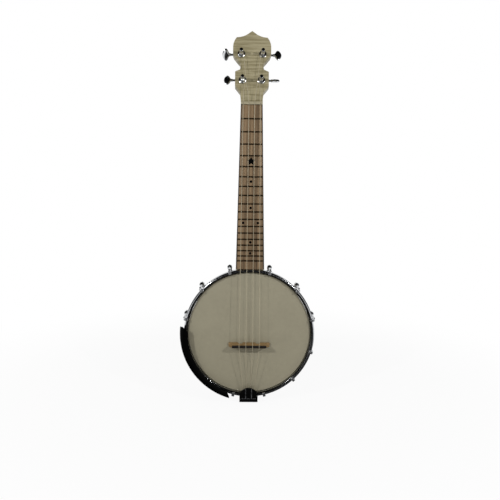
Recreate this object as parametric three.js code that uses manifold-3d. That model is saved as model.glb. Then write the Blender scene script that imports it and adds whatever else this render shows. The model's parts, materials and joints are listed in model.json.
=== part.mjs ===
// A banjo ukulele: open-backed wooden pot, hooked tension hoop, bolted-on neck and geared tuners.
//
// Millimetres. The finished model has +Z along the neck, the face towards -Y and +X to the
// right as the face is seen. Every piece is drawn in the front view: x to the right, y up along
// the neck, z out of the face towards the viewer. The last group turns it upright.
// The origin is on the rim's back edge, in the middle of its wall, at the tail.

import * as THREE from 'three';
import { mergeVertices } from 'three/addons/utils/BufferGeometryUtils.js';
import Module from 'manifold-3d';

const wasm = await Module();
wasm.setup();

// Fits shared by all pieces
const seat = 0.3;
const runningGap = 0.3;
const overrun = 2;

// Scale, nut and fingerboard
const scaleLength = 380;
const potBelowNut = 367.85;
const boardHalfAtNut = 17.1;
const boardHalfAtEnd = 23;
const boardThickness = 6;
const boardAboveHead = 9;
const boardGapAtHoop = 0.5;
const nutLength = 5;
const nutRise = 2.2;
const nutSlotDepth = 0.9;
const fretWidth = 2.2;
const fretHeight = 1.1;
const fretInset = 0.3;
const fretSink = 0.6;
const lastFretMargin = 10;

// Neck, heel and headstock
const neckDepthAtNut = 11;
const neckDepthAtHeel = 15.5;
const neckRoundPower = 2.3;
const heelLength = 54;
const heelAboveBack = 6;
const heelPinchShare = 0.42;
const heelRoundPower = 2.7;
const heelSweepPower = 1.5;
const collarLength = 24;
const collarPower = 9;
const headstockAngle = 13.2;
const headstockThickness = 12.5;
const headstockDrop = 3;
const headstockRoot = 1.5;

// Headstock outline: half widths and distances above the nut
const tipRise = 125;
const ogeeHalf = 8.4;
const ogeeRise = 118.6;
const shoulderHalf = 24.6;
const shoulderRise = 114;
const cheekHalf = 30.4;
const cheekTopRise = 98;
const cheekLowRise = 86.5;
const chinHalf = 28.8;
const chinRise = 82.6;
const waistLipHalf = 20.5;
const waistLipRise = 72;
const waistNotch = 2.2;
const blockHalf = 26.7;
const blockCrownHalf = 20;
const blockCrownRise = 59;
const blockTopRise = 56;
const blockLowRise = 32.5;
const stemHalf = 18.6;
const stemRise = 22;

// Pot
const rimRadius = 100.8;
const rimWall = 9;
const rimDepth = 54;
const rimEdgeRound = 1.8;
const rimEdgeChamfer = 1;
const filmThickness = 0.5;
const filmSkirt = 7.6;
const hoopSlide = 0.4;
const hoopBar = 6.2;
const hoopRise = 5;
const hoopChamfer = 0.8;
const hoopLip = 2.4;
const hoopOverlap = 1;
const fleshWire = 3;
const fleshDrop = 3.5;
const potSteps = 56;

// Hooks and bracket shoes
const hookPairCount = 6;
const firstHookAngle = 17.9;
const lastHookAngle = 166;
const hookRod = 3.8;
const hookGap = 0.6;
const clawWidth = 5;
const clawThickness = 2.2;
const clawInset = 1.5;
const clawNeck = 10;
const hookTail = 5;
const hookNutWidth = 7.2;
const hookNutHeight = 5;
const shoeBehindHoop = 39;
const shoeBallRadius = 4.4;
const shoeBallHalf = 3.7;
const shoePadHalf = 5.5;
const shoePadLength = 17;
const shoePadThickness = 2.6;
const shoeArmHalf = 2.6;
const shoeArmLength = 9;

// Coordinator rod and tail
const rodRadius = 4;
const studRadius = 3;
const rodAboveBack = 30;
const rodNutWidth = 13;
const rodNutLength = 5;
const heelBite = 13;
const studTail = 9;
const tailNutWidth = 10;
const tailNutLength = 5;

// Tailpiece cover and its hanger
const coverHalf = 14.6;
const coverArchHalf = 12.4;
const coverInset = 10.7;
const coverOverhang = 8.5;
const coverSheet = 1.8;
const coverBend = 3;
const coverAboveHoop = 2.1;
const coverSkirt = 14;
const coverArchRise = 6;
const ribHalf = 1.6;
const ribOffset = 4.9;
const ribHeight = 1;
const anchorThickness = 3;
const anchorSetback = 7;
const anchorHeight = 4.6;
const hangerHalf = 5;
const hangerSheet = 2;
const hangerFoot = 9;
const hangerKneeDrop = 8;

// Armrest and its two clamps
const armStartAngle = 83.2;
const armEndAngle = 163.5;
const armStartSlantAngle = 4;
const armEndSlantAngle = 7;
const armInset = 3.2;
const armAboveClaw = 2.2;
const armCrown = 3.2;
const armCurl = 8;
const armSheet = 2;
const armSteps = 22;
const clampHalf = 4.5;
const clampSheet = 1.2;
const clampFoot = 20;
const clampKneeDrop = 10;

// Bridge
const bridgeBelowNut = 387.1;
const bridgeHeight = 16;
const bridgeCapHeight = 3;
const bridgeCapHalf = 28.2;
const bridgeFootHalf = 34;
const bridgeFootLength = 15;
const bridgeMiddleLength = 19;
const bridgeFootRise = 2.6;
const bridgeArchRise = 6;
const bridgeFootThickness = 7;
const bridgeTopThickness = 4.2;
const bridgeNotch = 0.9;

// Strings: places across the nut, the bridge and the tailpiece, and the tuner that each goes to
const stringCount = 4;
const stringTuners = [1, 0, 3, 2];
const stringDiameter = 0.75;
const stringSpanAtNut = 26.8;
const stringSpanAtBridge = 33;
const stringSpanAtTail = 19;
const stringLoops = 2;
const loopSteps = 24;
const stringSides = 6;
const loopGap = 0.5;
const stringBend = 2.5;
const slotWidth = 1.5;
const endLiftShare = 2.2;
const endTurnShare = 0.25;
const endTuckShare = 0.07;

// Tuners, drawn on the headstock: x across, y along it, z out of its face
const postRiseUpper = 85.1;
const postRiseLower = 41.2;
const postHalfUpper = 17.1;
const postHalfLower = 14.8;
const postHeight = 14;
const postRadius = 3;
const postBaseRadius = 3.4;
const postWaistRadius = 2.2;
const postTopRadius = 2.8;
const postTopChamfer = 0.5;
const postWaistHeight = 8.6;
const postFlareHeight = 12.6;
const postHole = 1.6;
const loopHeight = 5.4;
const bushingWall = 1;
const bushingFlange = 1.9;
const bushingRise = 2;
const bushingDepth = 8;
const plateSheet = 1.2;
const plateMargin = 1.2;
const plateTail = 6.5;
const plateNose = 4.8;
const plateCorner = 2.5;
const earHalf = 3.4;
const gearTeeth = 14;
const gearModule = 0.85;
const gearWidth = 3.4;
const gearAddendumShare = 0.82;
const gearDedendumShare = 1.15;
const toothTipShare = 0.26;
const toothRootShare = 0.66;
const gearBoss = 3.8;
const wormPitchRadius = 2.9;
const wormLength = 10;
const threadTipShare = 0.24;
const threadRootShare = 0.62;
const threadSteps = 12;
const shaftRadius = 1.7;
const shaftEnd = 1.2;
const buttonCentreUpper = 42;
const buttonCentreLower = 39;
const buttonLength = 12;
const buttonHalfWidth = 10;
const buttonHalfThickness = 2.6;
const buttonNeckRadius = 2.3;
const buttonTurns = [-30, 17, -60, -13];

// Heights over the rim's back edge
const potY = rimRadius - rimWall / 2;
const headBack = rimDepth + seat;
const headFront = headBack + filmThickness;
const hoopFront = headFront + hoopRise;
const boardTop = headFront + boardAboveHead;
const boardBottom = boardTop - boardThickness;
const neckTop = boardBottom - seat;
const shoeZ = hoopFront - shoeBehindHoop;
const fleshFront = headFront - fleshDrop;
const hoopBack = fleshFront - fleshWire - hoopOverlap;

// Radii about the pot's centre
const rimInside = rimRadius - rimWall;
const filmInside = rimRadius + seat;
const filmOutside = filmInside + filmThickness;
const hoopInside = filmOutside + hoopSlide;
const hoopOutside = hoopInside + hoopBar;
const hookCircle = hoopOutside + hookGap + hookRod / 2;
const coverReach = hoopInside - coverInset;
const coverFoot = hoopOutside + coverOverhang;
const clampInside = hoopOutside + seat;
const armInnerRadius = hoopInside - armInset;
const armOuterRadius = clampInside + 3 * clampSheet + seat + armSheet;

// Places along the neck
const nutY = potY + potBelowNut;
const boardEndY = potY + hoopOutside + boardGapAtHoop;
const bridgeY = nutY - bridgeBelowNut;

// Tuner gearing
const gearPitchRadius = gearModule * gearTeeth / 2;
const gearTipRadius = gearPitchRadius + gearModule * gearAddendumShare;
const gearRootRadius = gearPitchRadius - gearModule * gearDedendumShare;
const wormPitch = Math.PI * gearModule;
const wormTipRadius = wormPitchRadius + gearModule * gearAddendumShare;
const wormRootRadius = wormPitchRadius - gearModule * gearDedendumShare;
const leadSlope = wormPitch / (2 * Math.PI * wormPitchRadius);
const wormDistance = gearPitchRadius + wormPitchRadius;
const plateBack = -headstockThickness - seat - plateSheet;
const wormZ = plateBack - runningGap - wormTipRadius;
const gearFront = wormZ + gearWidth / 2;
const gearBack = wormZ - gearWidth / 2;
const bushingRadius = postRadius + runningGap + bushingWall;

const degrees = Math.PI / 180;

// Shapes and solids

function outline(points) {
  return new THREE.Shape(points.map(([x, y]) => new THREE.Vector2(x, y)));
}

function extrude(shape, depth, start = 0, curveSegments = 6) {
  const geometry = new THREE.ExtrudeGeometry(shape, { depth, bevelEnabled: false, curveSegments });
  return geometry.translate(0, 0, start);
}

// A side view, drawn as y and z, given a width across x
function sideExtrude(shape, width) {
  const toSide = new THREE.Matrix4().makeBasis(
    new THREE.Vector3(0, 1, 0), new THREE.Vector3(0, 0, 1), new THREE.Vector3(1, 0, 0));
  return extrude(shape, width, -width / 2).applyMatrix4(toSide);
}

// A top view, drawn as x and z, given a length along y that is centred on zero
function endExtrude(shape, length) {
  return extrude(shape, length, -length / 2).rotateX(Math.PI / 2);
}

// A profile of radius and height turned about the z axis
function turn(profile, steps) {
  const points = profile.map(([radius, height]) => new THREE.Vector2(radius, height));
  return new THREE.LatheGeometry(points, steps).rotateX(Math.PI / 2);
}

// The cosine and sine of equal steps round a circle
function circle(steps) {
  return Array.from({ length: steps }, (_, i) => {
    const angle = 2 * Math.PI * i / steps;
    return [Math.cos(angle), Math.sin(angle)];
  });
}

function closed(profile) {
  return [...profile, profile[0]];
}

function rod(radius, from, to, steps) {
  return turn([[0, from], [radius, from], [radius, to], [0, to]], steps);
}

// Rings of equal count joined into one skin, with both ends capped from their middles
function loft(rings) {
  const count = rings[0].length;
  const points = rings.flat();
  const middle = (ring) => ring.reduce((sum, p) => sum.add(p), new THREE.Vector3())
    .divideScalar(ring.length);
  points.push(middle(rings[0]), middle(rings[rings.length - 1]));
  const index = [];
  for (let k = 0; k < rings.length - 1; k++) {
    for (let i = 0; i < count; i++) {
      const a = k * count + i;
      const b = k * count + (i + 1) % count;
      index.push(a, b, a + count, b, b + count, a + count);
    }
  }
  const last = (rings.length - 1) * count;
  for (let i = 0; i < count; i++) {
    const next = (i + 1) % count;
    index.push(points.length - 2, next, i);
    index.push(points.length - 1, last + i, last + next);
  }
  const geometry = new THREE.BufferGeometry().setFromPoints(points);
  geometry.setIndex(index);
  return geometry;
}

function solid(geometry) {
  const bare = geometry.clone();
  bare.deleteAttribute('normal');
  bare.deleteAttribute('uv');
  const merged = mergeVertices(bare);
  const vertProperties = new Float32Array(merged.attributes.position.array);
  const triVerts = new Uint32Array(merged.index.array);
  return new wasm.Manifold(new wasm.Mesh({ numProp: 3, vertProperties, triVerts }));
}

function join(...geometries) {
  return geometries.map(solid).reduce((whole, piece) => whole.add(piece));
}

function cut(whole, ...geometries) {
  return geometries.map(solid).reduce((left, cutter) => left.subtract(cutter), whole);
}

function skin(manifold) {
  const mesh = manifold.getMesh();
  const geometry = new THREE.BufferGeometry();
  geometry.setAttribute('position', new THREE.BufferAttribute(new Float32Array(mesh.vertProperties), 3));
  geometry.setIndex(new THREE.BufferAttribute(new Uint32Array(mesh.triVerts), 1));
  return geometry;
}

// Finishes

const finishes = {
  maple: { color: 0xd8cba8, roughness: 0.42, metalness: 0 },
  walnut: { color: 0x9a7550, roughness: 0.55, metalness: 0 },
  ebony: { color: 0x17120f, roughness: 0.4, metalness: 0 },
  bone: { color: 0xe6dfc9, roughness: 0.4, metalness: 0 },
  film: { color: 0xd9d4c0, roughness: 0.7, metalness: 0 },
  chrome: { color: 0xc9ccd0, roughness: 0.12, metalness: 1 },
  steel: { color: 0x8d9094, roughness: 0.35, metalness: 1 },
  black: { color: 0x0d0d0e, roughness: 0.35, metalness: 0.2 },
  nylon: { color: 0xe9e6da, roughness: 0.3, metalness: 0 },
};

function piece(name, geometry, finish) {
  const material = new THREE.MeshStandardMaterial({ ...finishes[finish], flatShading: true });
  const mesh = new THREE.Mesh(geometry, material);
  mesh.name = name;
  return mesh;
}

// Pot: wooden rim, head, flesh hoop and tension hoop

function arc(centreRadius, centreHeight, radius, from, to, steps) {
  return Array.from({ length: steps + 1 }, (_, i) => {
    const angle = (from + (to - from) * i / steps) * degrees;
    return [centreRadius + radius * Math.cos(angle), centreHeight + radius * Math.sin(angle)];
  });
}

const edgeSteps = 2;
const edgeRadius = rimRadius - rimEdgeRound;
const edgeHeight = rimDepth - rimEdgeRound;

function makeRim() {
  const profile = closed([
    [rimInside, 0],
    [rimRadius, 0],
    ...arc(edgeRadius, edgeHeight, rimEdgeRound, 0, 90, edgeSteps),
    [rimInside + rimEdgeChamfer, rimDepth],
    [rimInside, rimDepth - rimEdgeChamfer],
  ]);
  const bore = rod(studRadius + seat, -(rimRadius + overrun), rimRadius + overrun, 12)
    .rotateX(-Math.PI / 2).translate(0, 0, rodAboveBack);
  return skin(cut(solid(turn(profile, potSteps)), bore)).translate(0, potY, 0);
}

function makeHead() {
  const under = rimEdgeRound + seat;
  const over = under + filmThickness;
  const profile = [
    [0, headBack],
    ...arc(edgeRadius, edgeHeight, under, 90, 0, edgeSteps),
    [filmInside, headFront - filmSkirt],
    [filmOutside, headFront - filmSkirt],
    ...arc(edgeRadius, edgeHeight, over, 0, 90, edgeSteps),
    [0, headFront],
  ];
  return turn(profile, potSteps).translate(0, potY, 0);
}

function makeFleshHoop() {
  const inside = filmOutside + seat;
  const profile = closed([
    [inside, fleshFront - fleshWire],
    [inside + fleshWire, fleshFront - fleshWire],
    [inside + fleshWire, fleshFront],
    [inside, fleshFront],
  ]);
  return turn(profile, potSteps).translate(0, potY, 0);
}

function makeTensionHoop() {
  const lipInside = Math.max(hoopOutside - hoopLip, filmOutside + seat + fleshWire + seat);
  const profile = closed([
    [hoopInside, fleshFront + seat],
    [lipInside, fleshFront + seat],
    [lipInside, hoopBack],
    [hoopOutside, hoopBack],
    [hoopOutside, hoopFront - hoopChamfer],
    [hoopOutside - hoopChamfer, hoopFront],
    [hoopInside + hoopChamfer, hoopFront],
    [hoopInside, hoopFront - hoopChamfer],
  ]);
  return turn(profile, potSteps).translate(0, potY, 0);
}

// Hooks and shoes stand at an angle round the pot, drawn with their radius along y

function aroundPot(geometry, angle) {
  return geometry.rotateZ(-angle * degrees).translate(0, potY, 0);
}

const ballBack = shoeZ - shoeBallHalf;
const clawBack = hoopFront + seat;
const clawFront = clawBack + clawThickness;

function makeHook(angle) {
  const inner = hookCircle - hookRod / 2;
  const outer = inner + clawThickness;
  const bend = clawThickness + seat;
  const claw = outline([
    [hoopInside + clawInset, clawBack],
    [inner, clawBack],
    [inner, clawBack - clawNeck],
    [outer, clawBack - clawNeck],
    ...arc(outer - bend, clawFront - bend, bend, 0, 90, 3),
    [hoopInside + clawInset + clawThickness / 2, clawFront],
    [hoopInside + clawInset, clawFront - clawThickness / 2],
  ]);
  const nutFront = ballBack - seat;
  const nutBack = nutFront - hookNutHeight;
  const stem = rod(hookRod / 2, nutBack - hookTail, clawBack - clawNeck / 2, 8);
  const nut = rod(hookNutWidth / Math.sqrt(3), nutBack, nutFront, 6);
  const whole = join(
    sideExtrude(claw, clawWidth),
    stem.translate(0, hookCircle, 0),
    nut.translate(0, hookCircle, 0));
  return aroundPot(skin(whole), angle);
}

function makeShoe(angle) {
  const hole = hookRod / 2 + seat;
  const shoulder = (hole + shoeBallRadius) / 2;
  const ball = turn(closed([
    [hole, ballBack],
    [shoulder, ballBack],
    [shoeBallRadius, shoeZ - shoeBallHalf / 3],
    [shoeBallRadius, shoeZ + shoeBallHalf / 3],
    [shoulder, shoeZ + shoeBallHalf],
    [hole, shoeZ + shoeBallHalf],
  ]), 8).translate(0, hookCircle, 0);
  const padBack = rimRadius + seat;
  const padFront = padBack + shoePadThickness;
  const padTaper = shoePadThickness / 2;
  const pad = sideExtrude(outline([
    [padBack, shoeZ - shoePadLength / 2],
    [padFront - padTaper, shoeZ - shoePadLength / 2],
    [padFront, shoeZ - shoePadLength / 2 + padTaper],
    [padFront, shoeZ + shoePadLength / 2 - padTaper],
    [padFront - padTaper, shoeZ + shoePadLength / 2],
    [padBack, shoeZ + shoePadLength / 2],
  ]), 2 * shoePadHalf);
  const reach = hookCircle - hole - (shoulder - hole) / 2;
  const arm = sideExtrude(outline([
    [padFront - padTaper, shoeZ - shoeArmLength / 2],
    [reach, shoeZ - shoeBallHalf / 2],
    [reach, shoeZ + shoeBallHalf / 2],
    [padFront - padTaper, shoeZ + shoeArmLength / 2],
  ]), 2 * shoeArmHalf);
  return aroundPot(skin(join(pad, arm, ball)), angle);
}

// Coordinator rod, with the nut that holds it at each wall, and the nut at the tail

function insideWall(radius, half) {
  return Math.sqrt(radius * radius - half * half);
}

const rodNutCorner = rodNutWidth / Math.sqrt(3);
const hangerBack = rimRadius + seat;
const hangerFront = hangerBack + hangerSheet;

function makeCoordinatorRod() {
  const wall = insideWall(rimInside, rodNutCorner) - seat;
  const profile = [
    [0, -(hangerFront + studTail)],
    [studRadius, -(hangerFront + studTail)],
    [studRadius, -wall],
    [rodRadius, -wall],
    [rodRadius, wall],
    [studRadius, wall],
    [studRadius, rimRadius + heelBite],
    [0, rimRadius + heelBite],
  ];
  const nutAt = (from) => rod(rodNutCorner, from, from + rodNutLength, 6);
  const whole = join(turn(profile, 12), nutAt(-wall), nutAt(wall - rodNutLength));
  return skin(whole).rotateX(-Math.PI / 2).translate(0, potY, rodAboveBack);
}

function makeTailNut() {
  const from = hangerFront + seat;
  const inside = studRadius + seat;
  const hex = rod(tailNutWidth / Math.sqrt(3), from, from + tailNutLength, 6);
  const bore = rod(inside, from - overrun, from + tailNutLength + overrun, 12);
  return skin(cut(solid(hex), bore)).rotateX(Math.PI / 2).translate(0, potY, rodAboveBack);
}

// Tailpiece: a ribbed cover with a turned-down skirt, an anchor bar under it and a cranked hanger

const coverBack = hoopFront + coverAboveHoop;
const coverFront = coverBack + coverSheet;

function coverSide(lift) {
  const bend = coverBend + lift;
  return outline([
    [-coverReach, coverBack],
    [-coverReach, coverFront + lift],
    ...arc(-(coverFoot - coverBend), coverFront - coverBend, bend, 90, 180, 4),
    [-(coverFoot + lift), coverFront - coverSkirt],
    [-(coverFoot - coverSheet), coverFront - coverSkirt],
    [-(coverFoot - coverSheet), coverBack],
  ]);
}

function makeTailpiece() {
  const arch = new THREE.Shape();
  const foot = -(coverFoot + overrun);
  const archY = -(coverReach + coverArchRise);
  arch.moveTo(-coverHalf, foot);
  arch.lineTo(coverHalf, foot);
  arch.lineTo(coverHalf, -hoopInside);
  arch.lineTo(coverArchHalf, archY);
  arch.quadraticCurveTo(coverArchHalf / 2, -coverReach, 0, -coverReach);
  arch.quadraticCurveTo(-coverArchHalf / 2, -coverReach, -coverArchHalf, archY);
  arch.lineTo(-coverHalf, -hoopInside);
  arch.closePath();
  const mask = solid(extrude(arch, coverSkirt + coverFront, 0, 4));
  const sheet = solid(sideExtrude(coverSide(0), 2 * coverHalf + overrun)).intersect(mask);
  const ribs = [-1, 1].map((side) => solid(
    sideExtrude(coverSide(ribHeight), 2 * ribHalf).translate(side * ribOffset, 0, 0))
    .intersect(solid(extrude(arch, coverSkirt + coverFront + ribHeight, 0, 4))));
  const barY = -(coverReach + anchorSetback);
  const bar = solid(sideExtrude(outline([
    [barY, coverBack + coverSheet / 2],
    [barY, coverBack - anchorHeight],
    [barY - anchorThickness, coverBack - anchorHeight],
    [barY - anchorThickness, coverBack + coverSheet / 2],
  ]), stringSpanAtTail + 2 * stringDiameter));
  return skin(sheet.add(ribs[0]).add(ribs[1]).add(bar)).translate(0, potY, 0);
}

function makeHanger() {
  const upperBack = hoopOutside + seat + hoopSlide;
  const upperFront = upperBack + hangerSheet;
  const kneeTop = hoopBack - seat;
  const kneeLow = kneeTop - hangerKneeDrop;
  const top = coverBack - seat;
  const side = outline([
    [-hangerBack, rodAboveBack - hangerFoot],
    [-hangerFront, rodAboveBack - hangerFoot],
    [-hangerFront, kneeLow - hangerSheet / 2],
    [-upperFront, kneeTop - hangerSheet / 2],
    [-upperFront, top],
    [-upperBack, top],
    [-upperBack, kneeTop],
    [-hangerBack, kneeLow],
  ].reverse());
  const bore = rod(studRadius + seat, hangerBack - overrun, hangerFront + overrun, 12)
    .rotateX(Math.PI / 2).translate(0, 0, rodAboveBack);
  return skin(cut(solid(sideExtrude(side, 2 * hangerHalf)), bore)).translate(0, potY, 0);
}

// Armrest: a crowned band that curls over the hoop, its ends cut on the slant

const armUnder = clawFront + armAboveClaw;
const armCrownRadius = (armInnerRadius + armOuterRadius) / 2;

function armProfile() {
  const inner = armInnerRadius;
  const outer = armOuterRadius;
  const under = armUnder;
  const crownRadius = armCrownRadius;
  const top = under + armSheet;
  return [
    [inner, top - armSheet / 2],
    [inner + armSheet / 2, top],
    [crownRadius, under + armCrown + armSheet / 2],
    [outer - armSheet, top],
    [outer, under - armCurl / 3],
    [outer, under - armCurl],
    [outer - armSheet, under - armCurl],
    [outer - armSheet, under - armCurl / 3],
    [outer - 2 * armSheet, under],
    [crownRadius, under + armCrown - armSheet / 2],
    [inner + armSheet / 2, under],
  ];
}

function makeArmrest() {
  const profile = armProfile();
  const width = armOuterRadius - armInnerRadius;
  const rings = Array.from({ length: armSteps + 1 }, (_, k) => {
    const along = k / armSteps;
    return profile.map(([radius, height]) => {
      const inward = (armOuterRadius - radius) / width;
      const from = armStartAngle + armStartSlantAngle * inward ** 2;
      const to = armEndAngle - armEndSlantAngle * inward ** 2;
      const angle = (from + (to - from) * along) * degrees;
      return new THREE.Vector3(-radius * Math.sin(angle), radius * Math.cos(angle), height);
    });
  });
  return loft(rings).translate(0, potY, 0);
}

// A strap bent over the hoop, its top seated under the armrest's crown
function makeClamp(angle) {
  const back = clampInside + clampSheet;
  const crownEdge = armOuterRadius - 2 * armSheet;
  const slope = (armCrown - armSheet / 2) / (crownEdge - armCrownRadius);
  const top = armUnder + slope * (crownEdge - back) - seat;
  const footZ = hoopBack - clampFoot;
  const pad = rimRadius + seat;
  const strap = outline([
    [hoopInside + hoopBar / 2, top],
    [back, top],
    [back, hoopBack - clampSheet],
    [pad + clampSheet, hoopBack - clampKneeDrop],
    [pad + clampSheet, footZ],
    [pad, footZ],
    [pad, hoopBack - clampKneeDrop + clampSheet / 2],
    [back - clampSheet, hoopBack - clampSheet / 2],
    [back - clampSheet, top - clampSheet],
    [hoopInside + hoopBar / 2, top - clampSheet],
  ].reverse());
  return aroundPot(sideExtrude(strap, 2 * clampHalf), -angle);
}

// Bridge: a maple base on three feet, under an ebony cap

const bridgeBack = headFront + seat;
const bridgeTop = headFront + bridgeHeight;
const bridgeSaddle = bridgeTop - bridgeCapHeight;

function acrossSpan(span, i) {
  return span * (i / (stringCount - 1) - 0.5);
}

function slots(span, top, depth, length) {
  return Array.from({ length: stringCount }, (_, i) => endExtrude(outline([
    [-slotWidth / 2, top + overrun],
    [-slotWidth / 2, top - depth],
    [slotWidth / 2, top - depth],
    [slotWidth / 2, top + overrun],
  ]), length + 2 * overrun).translate(acrossSpan(span, i), 0, 0));
}

function makeBridgeBase() {
  const height = bridgeSaddle - seat - bridgeBack;
  const footInner = bridgeFootHalf - bridgeFootLength;
  const midHalf = bridgeMiddleLength / 2;
  const archMid = (footInner + midHalf) / 2;
  const lift = 2 * bridgeArchRise;
  const shape = new THREE.Shape();
  shape.moveTo(-bridgeFootHalf, 0);
  shape.lineTo(-footInner, 0);
  shape.quadraticCurveTo(-archMid, lift, -midHalf, 0);
  shape.lineTo(midHalf, 0);
  shape.quadraticCurveTo(archMid, lift, footInner, 0);
  shape.lineTo(bridgeFootHalf, 0);
  shape.lineTo(bridgeFootHalf, bridgeFootRise);
  shape.quadraticCurveTo(bridgeCapHalf, bridgeFootRise, bridgeCapHalf, height);
  shape.lineTo(-bridgeCapHalf, height);
  shape.quadraticCurveTo(-bridgeCapHalf, bridgeFootRise, -bridgeFootHalf, bridgeFootRise);
  shape.closePath();
  const wedge = sideExtrude(outline([
    [-bridgeFootThickness / 2, -overrun],
    [bridgeFootThickness / 2, -overrun],
    [bridgeFootThickness / 2, bridgeFootRise],
    [bridgeTopThickness / 2, height],
    [bridgeTopThickness / 2, height + overrun],
    [-bridgeTopThickness / 2, height + overrun],
    [-bridgeTopThickness / 2, height],
    [-bridgeFootThickness / 2, bridgeFootRise],
  ]), 2 * bridgeFootHalf + overrun);
  const front = new THREE.Matrix4().makeRotationX(Math.PI / 2);
  const slab = extrude(shape, 2 * bridgeFootThickness, -bridgeFootThickness, 6).applyMatrix4(front);
  return skin(solid(slab).intersect(solid(wedge))).translate(0, bridgeY, bridgeBack);
}

function makeBridgeCap() {
  const bar = sideExtrude(outline([
    [-bridgeTopThickness / 2, bridgeSaddle],
    [bridgeTopThickness / 2, bridgeSaddle],
    [bridgeTopThickness / 3, bridgeTop],
    [-bridgeTopThickness / 3, bridgeTop],
  ]), 2 * bridgeCapHalf);
  const notches = slots(stringSpanAtBridge, bridgeTop, bridgeNotch, bridgeTopThickness);
  return skin(cut(solid(bar), ...notches)).translate(0, bridgeY, 0);
}

// Fingerboard with its frets, and the nut

function fretY(number) {
  return nutY - scaleLength * (1 - 2 ** (-number / 12));
}

function boardHalf(y) {
  const share = (nutY - y) / (nutY - boardEndY);
  return boardHalfAtNut + (boardHalfAtEnd - boardHalfAtNut) * share;
}

function makeFingerboard() {
  const board = extrude(outline([
    [-boardHalfAtEnd, boardEndY],
    [boardHalfAtEnd, boardEndY],
    [boardHalfAtNut, nutY],
    [-boardHalfAtNut, nutY],
  ]), boardThickness, boardBottom);
  const frets = [];
  for (let number = 1; fretY(number) > boardEndY + lastFretMargin; number++) {
    const y = fretY(number);
    const crown = outline([
      [-fretWidth / 2, boardTop - fretSink],
      [fretWidth / 2, boardTop - fretSink],
      [fretWidth / 2, boardTop + fretHeight / 3],
      [fretWidth / 5, boardTop + fretHeight],
      [-fretWidth / 5, boardTop + fretHeight],
      [-fretWidth / 2, boardTop + fretHeight / 3],
    ]);
    frets.push(sideExtrude(crown, 2 * (boardHalf(y) - fretInset)).translate(0, y, 0));
  }
  return skin(join(board, ...frets));
}

function makeNut() {
  const top = boardTop + nutRise;
  const block = sideExtrude(outline([
    [nutY + seat, boardBottom],
    [nutY + nutLength, boardBottom],
    [nutY + nutLength, boardTop],
    [nutY + nutLength / 2, top],
    [nutY + seat, top],
  ]), 2 * boardHalfAtNut);
  const grooves = slots(stringSpanAtNut, top, nutSlotDepth, nutLength)
    .map((groove) => groove.translate(0, nutY + nutLength / 2, 0));
  return skin(cut(solid(block), ...grooves));
}

// Neck: a lofted stem and heel joined to the headstock

const heelStartY = potY + rimRadius + heelLength;
const neckEndY = potY + rimInside;
const headstockY = nutY;
const headstockZ = boardTop - headstockDrop;
const neckSideSteps = 14;

function neckRing(y) {
  const half = boardHalf(Math.min(Math.max(y, boardEndY), nutY));
  const run = Math.min(1, Math.max(0, (heelStartY - y) / heelLength));
  const stem = Math.min(1, Math.max(0, (nutY - y) / (nutY - heelStartY)));
  const slim = neckDepthAtNut + (neckDepthAtHeel - neckDepthAtNut) * stem;
  const full = neckTop - heelAboveBack;
  const heel = (run ** heelSweepPower + 1 - Math.sqrt(1 - run ** 2)) / 2;
  const depth = slim + (full - slim) * heel;
  const collar = Math.min(1, Math.max(0, (y - nutY + collarLength) / collarLength));
  const power = neckRoundPower + (heelRoundPower - neckRoundPower) * run
    + (collarPower - neckRoundPower) * collar ** 2;
  const ring = [];
  for (let i = 0; i <= neckSideSteps; i++) {
    const angle = Math.PI * i / neckSideSteps;
    const across = Math.sign(Math.cos(angle)) * Math.abs(Math.cos(angle)) ** (2 / power);
    const down = Math.sin(angle) ** (2 / power);
    const pinch = 1 - heelPinchShare * heel * down;
    ring.push(new THREE.Vector3(half * across * pinch, y, neckTop - depth * down));
  }
  return ring;
}

function headstockOutline() {
  const shape = new THREE.Shape();
  shape.moveTo(boardHalfAtNut, -headstockRoot);
  shape.lineTo(boardHalfAtNut, nutLength);
  shape.quadraticCurveTo(boardHalfAtNut, stemRise / 2, stemHalf, stemRise);
  shape.lineTo(blockHalf, blockLowRise);
  shape.lineTo(blockHalf, blockTopRise);
  shape.lineTo(blockCrownHalf, blockCrownRise);
  shape.quadraticCurveTo(waistLipHalf - waistNotch, blockCrownRise, waistLipHalf - waistNotch,
    (blockCrownRise + waistLipRise) / 2);
  shape.quadraticCurveTo(waistLipHalf - waistNotch, waistLipRise - waistNotch / 2,
    waistLipHalf, waistLipRise);
  shape.lineTo(chinHalf, chinRise);
  shape.lineTo(cheekHalf, cheekLowRise);
  shape.lineTo(cheekHalf, cheekTopRise);
  shape.quadraticCurveTo(cheekHalf, (cheekTopRise + shoulderRise) / 2, shoulderHalf, shoulderRise);
  shape.quadraticCurveTo((shoulderHalf + ogeeHalf) / 2, shoulderRise, ogeeHalf, ogeeRise);
  shape.lineTo(0, tipRise);
  return shape;
}

function makeHeadstock() {
  const half = headstockOutline().extractPoints(5).shape;
  const mirrored = half.slice(0, -1).reverse().map((p) => new THREE.Vector2(-p.x, p.y));
  const whole = new THREE.Shape([...half, ...mirrored]);
  const slab = extrude(whole, headstockThickness, -headstockThickness);
  const holes = tunerPlaces.map(({ x, y }) => rod(
    bushingRadius + seat, -headstockThickness - overrun, overrun, 16).translate(x, y, 0));
  return cut(solid(slab), ...holes);
}

function toHeadstock(geometry) {
  return geometry.rotateX(-headstockAngle * degrees).translate(0, headstockY, headstockZ);
}

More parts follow.
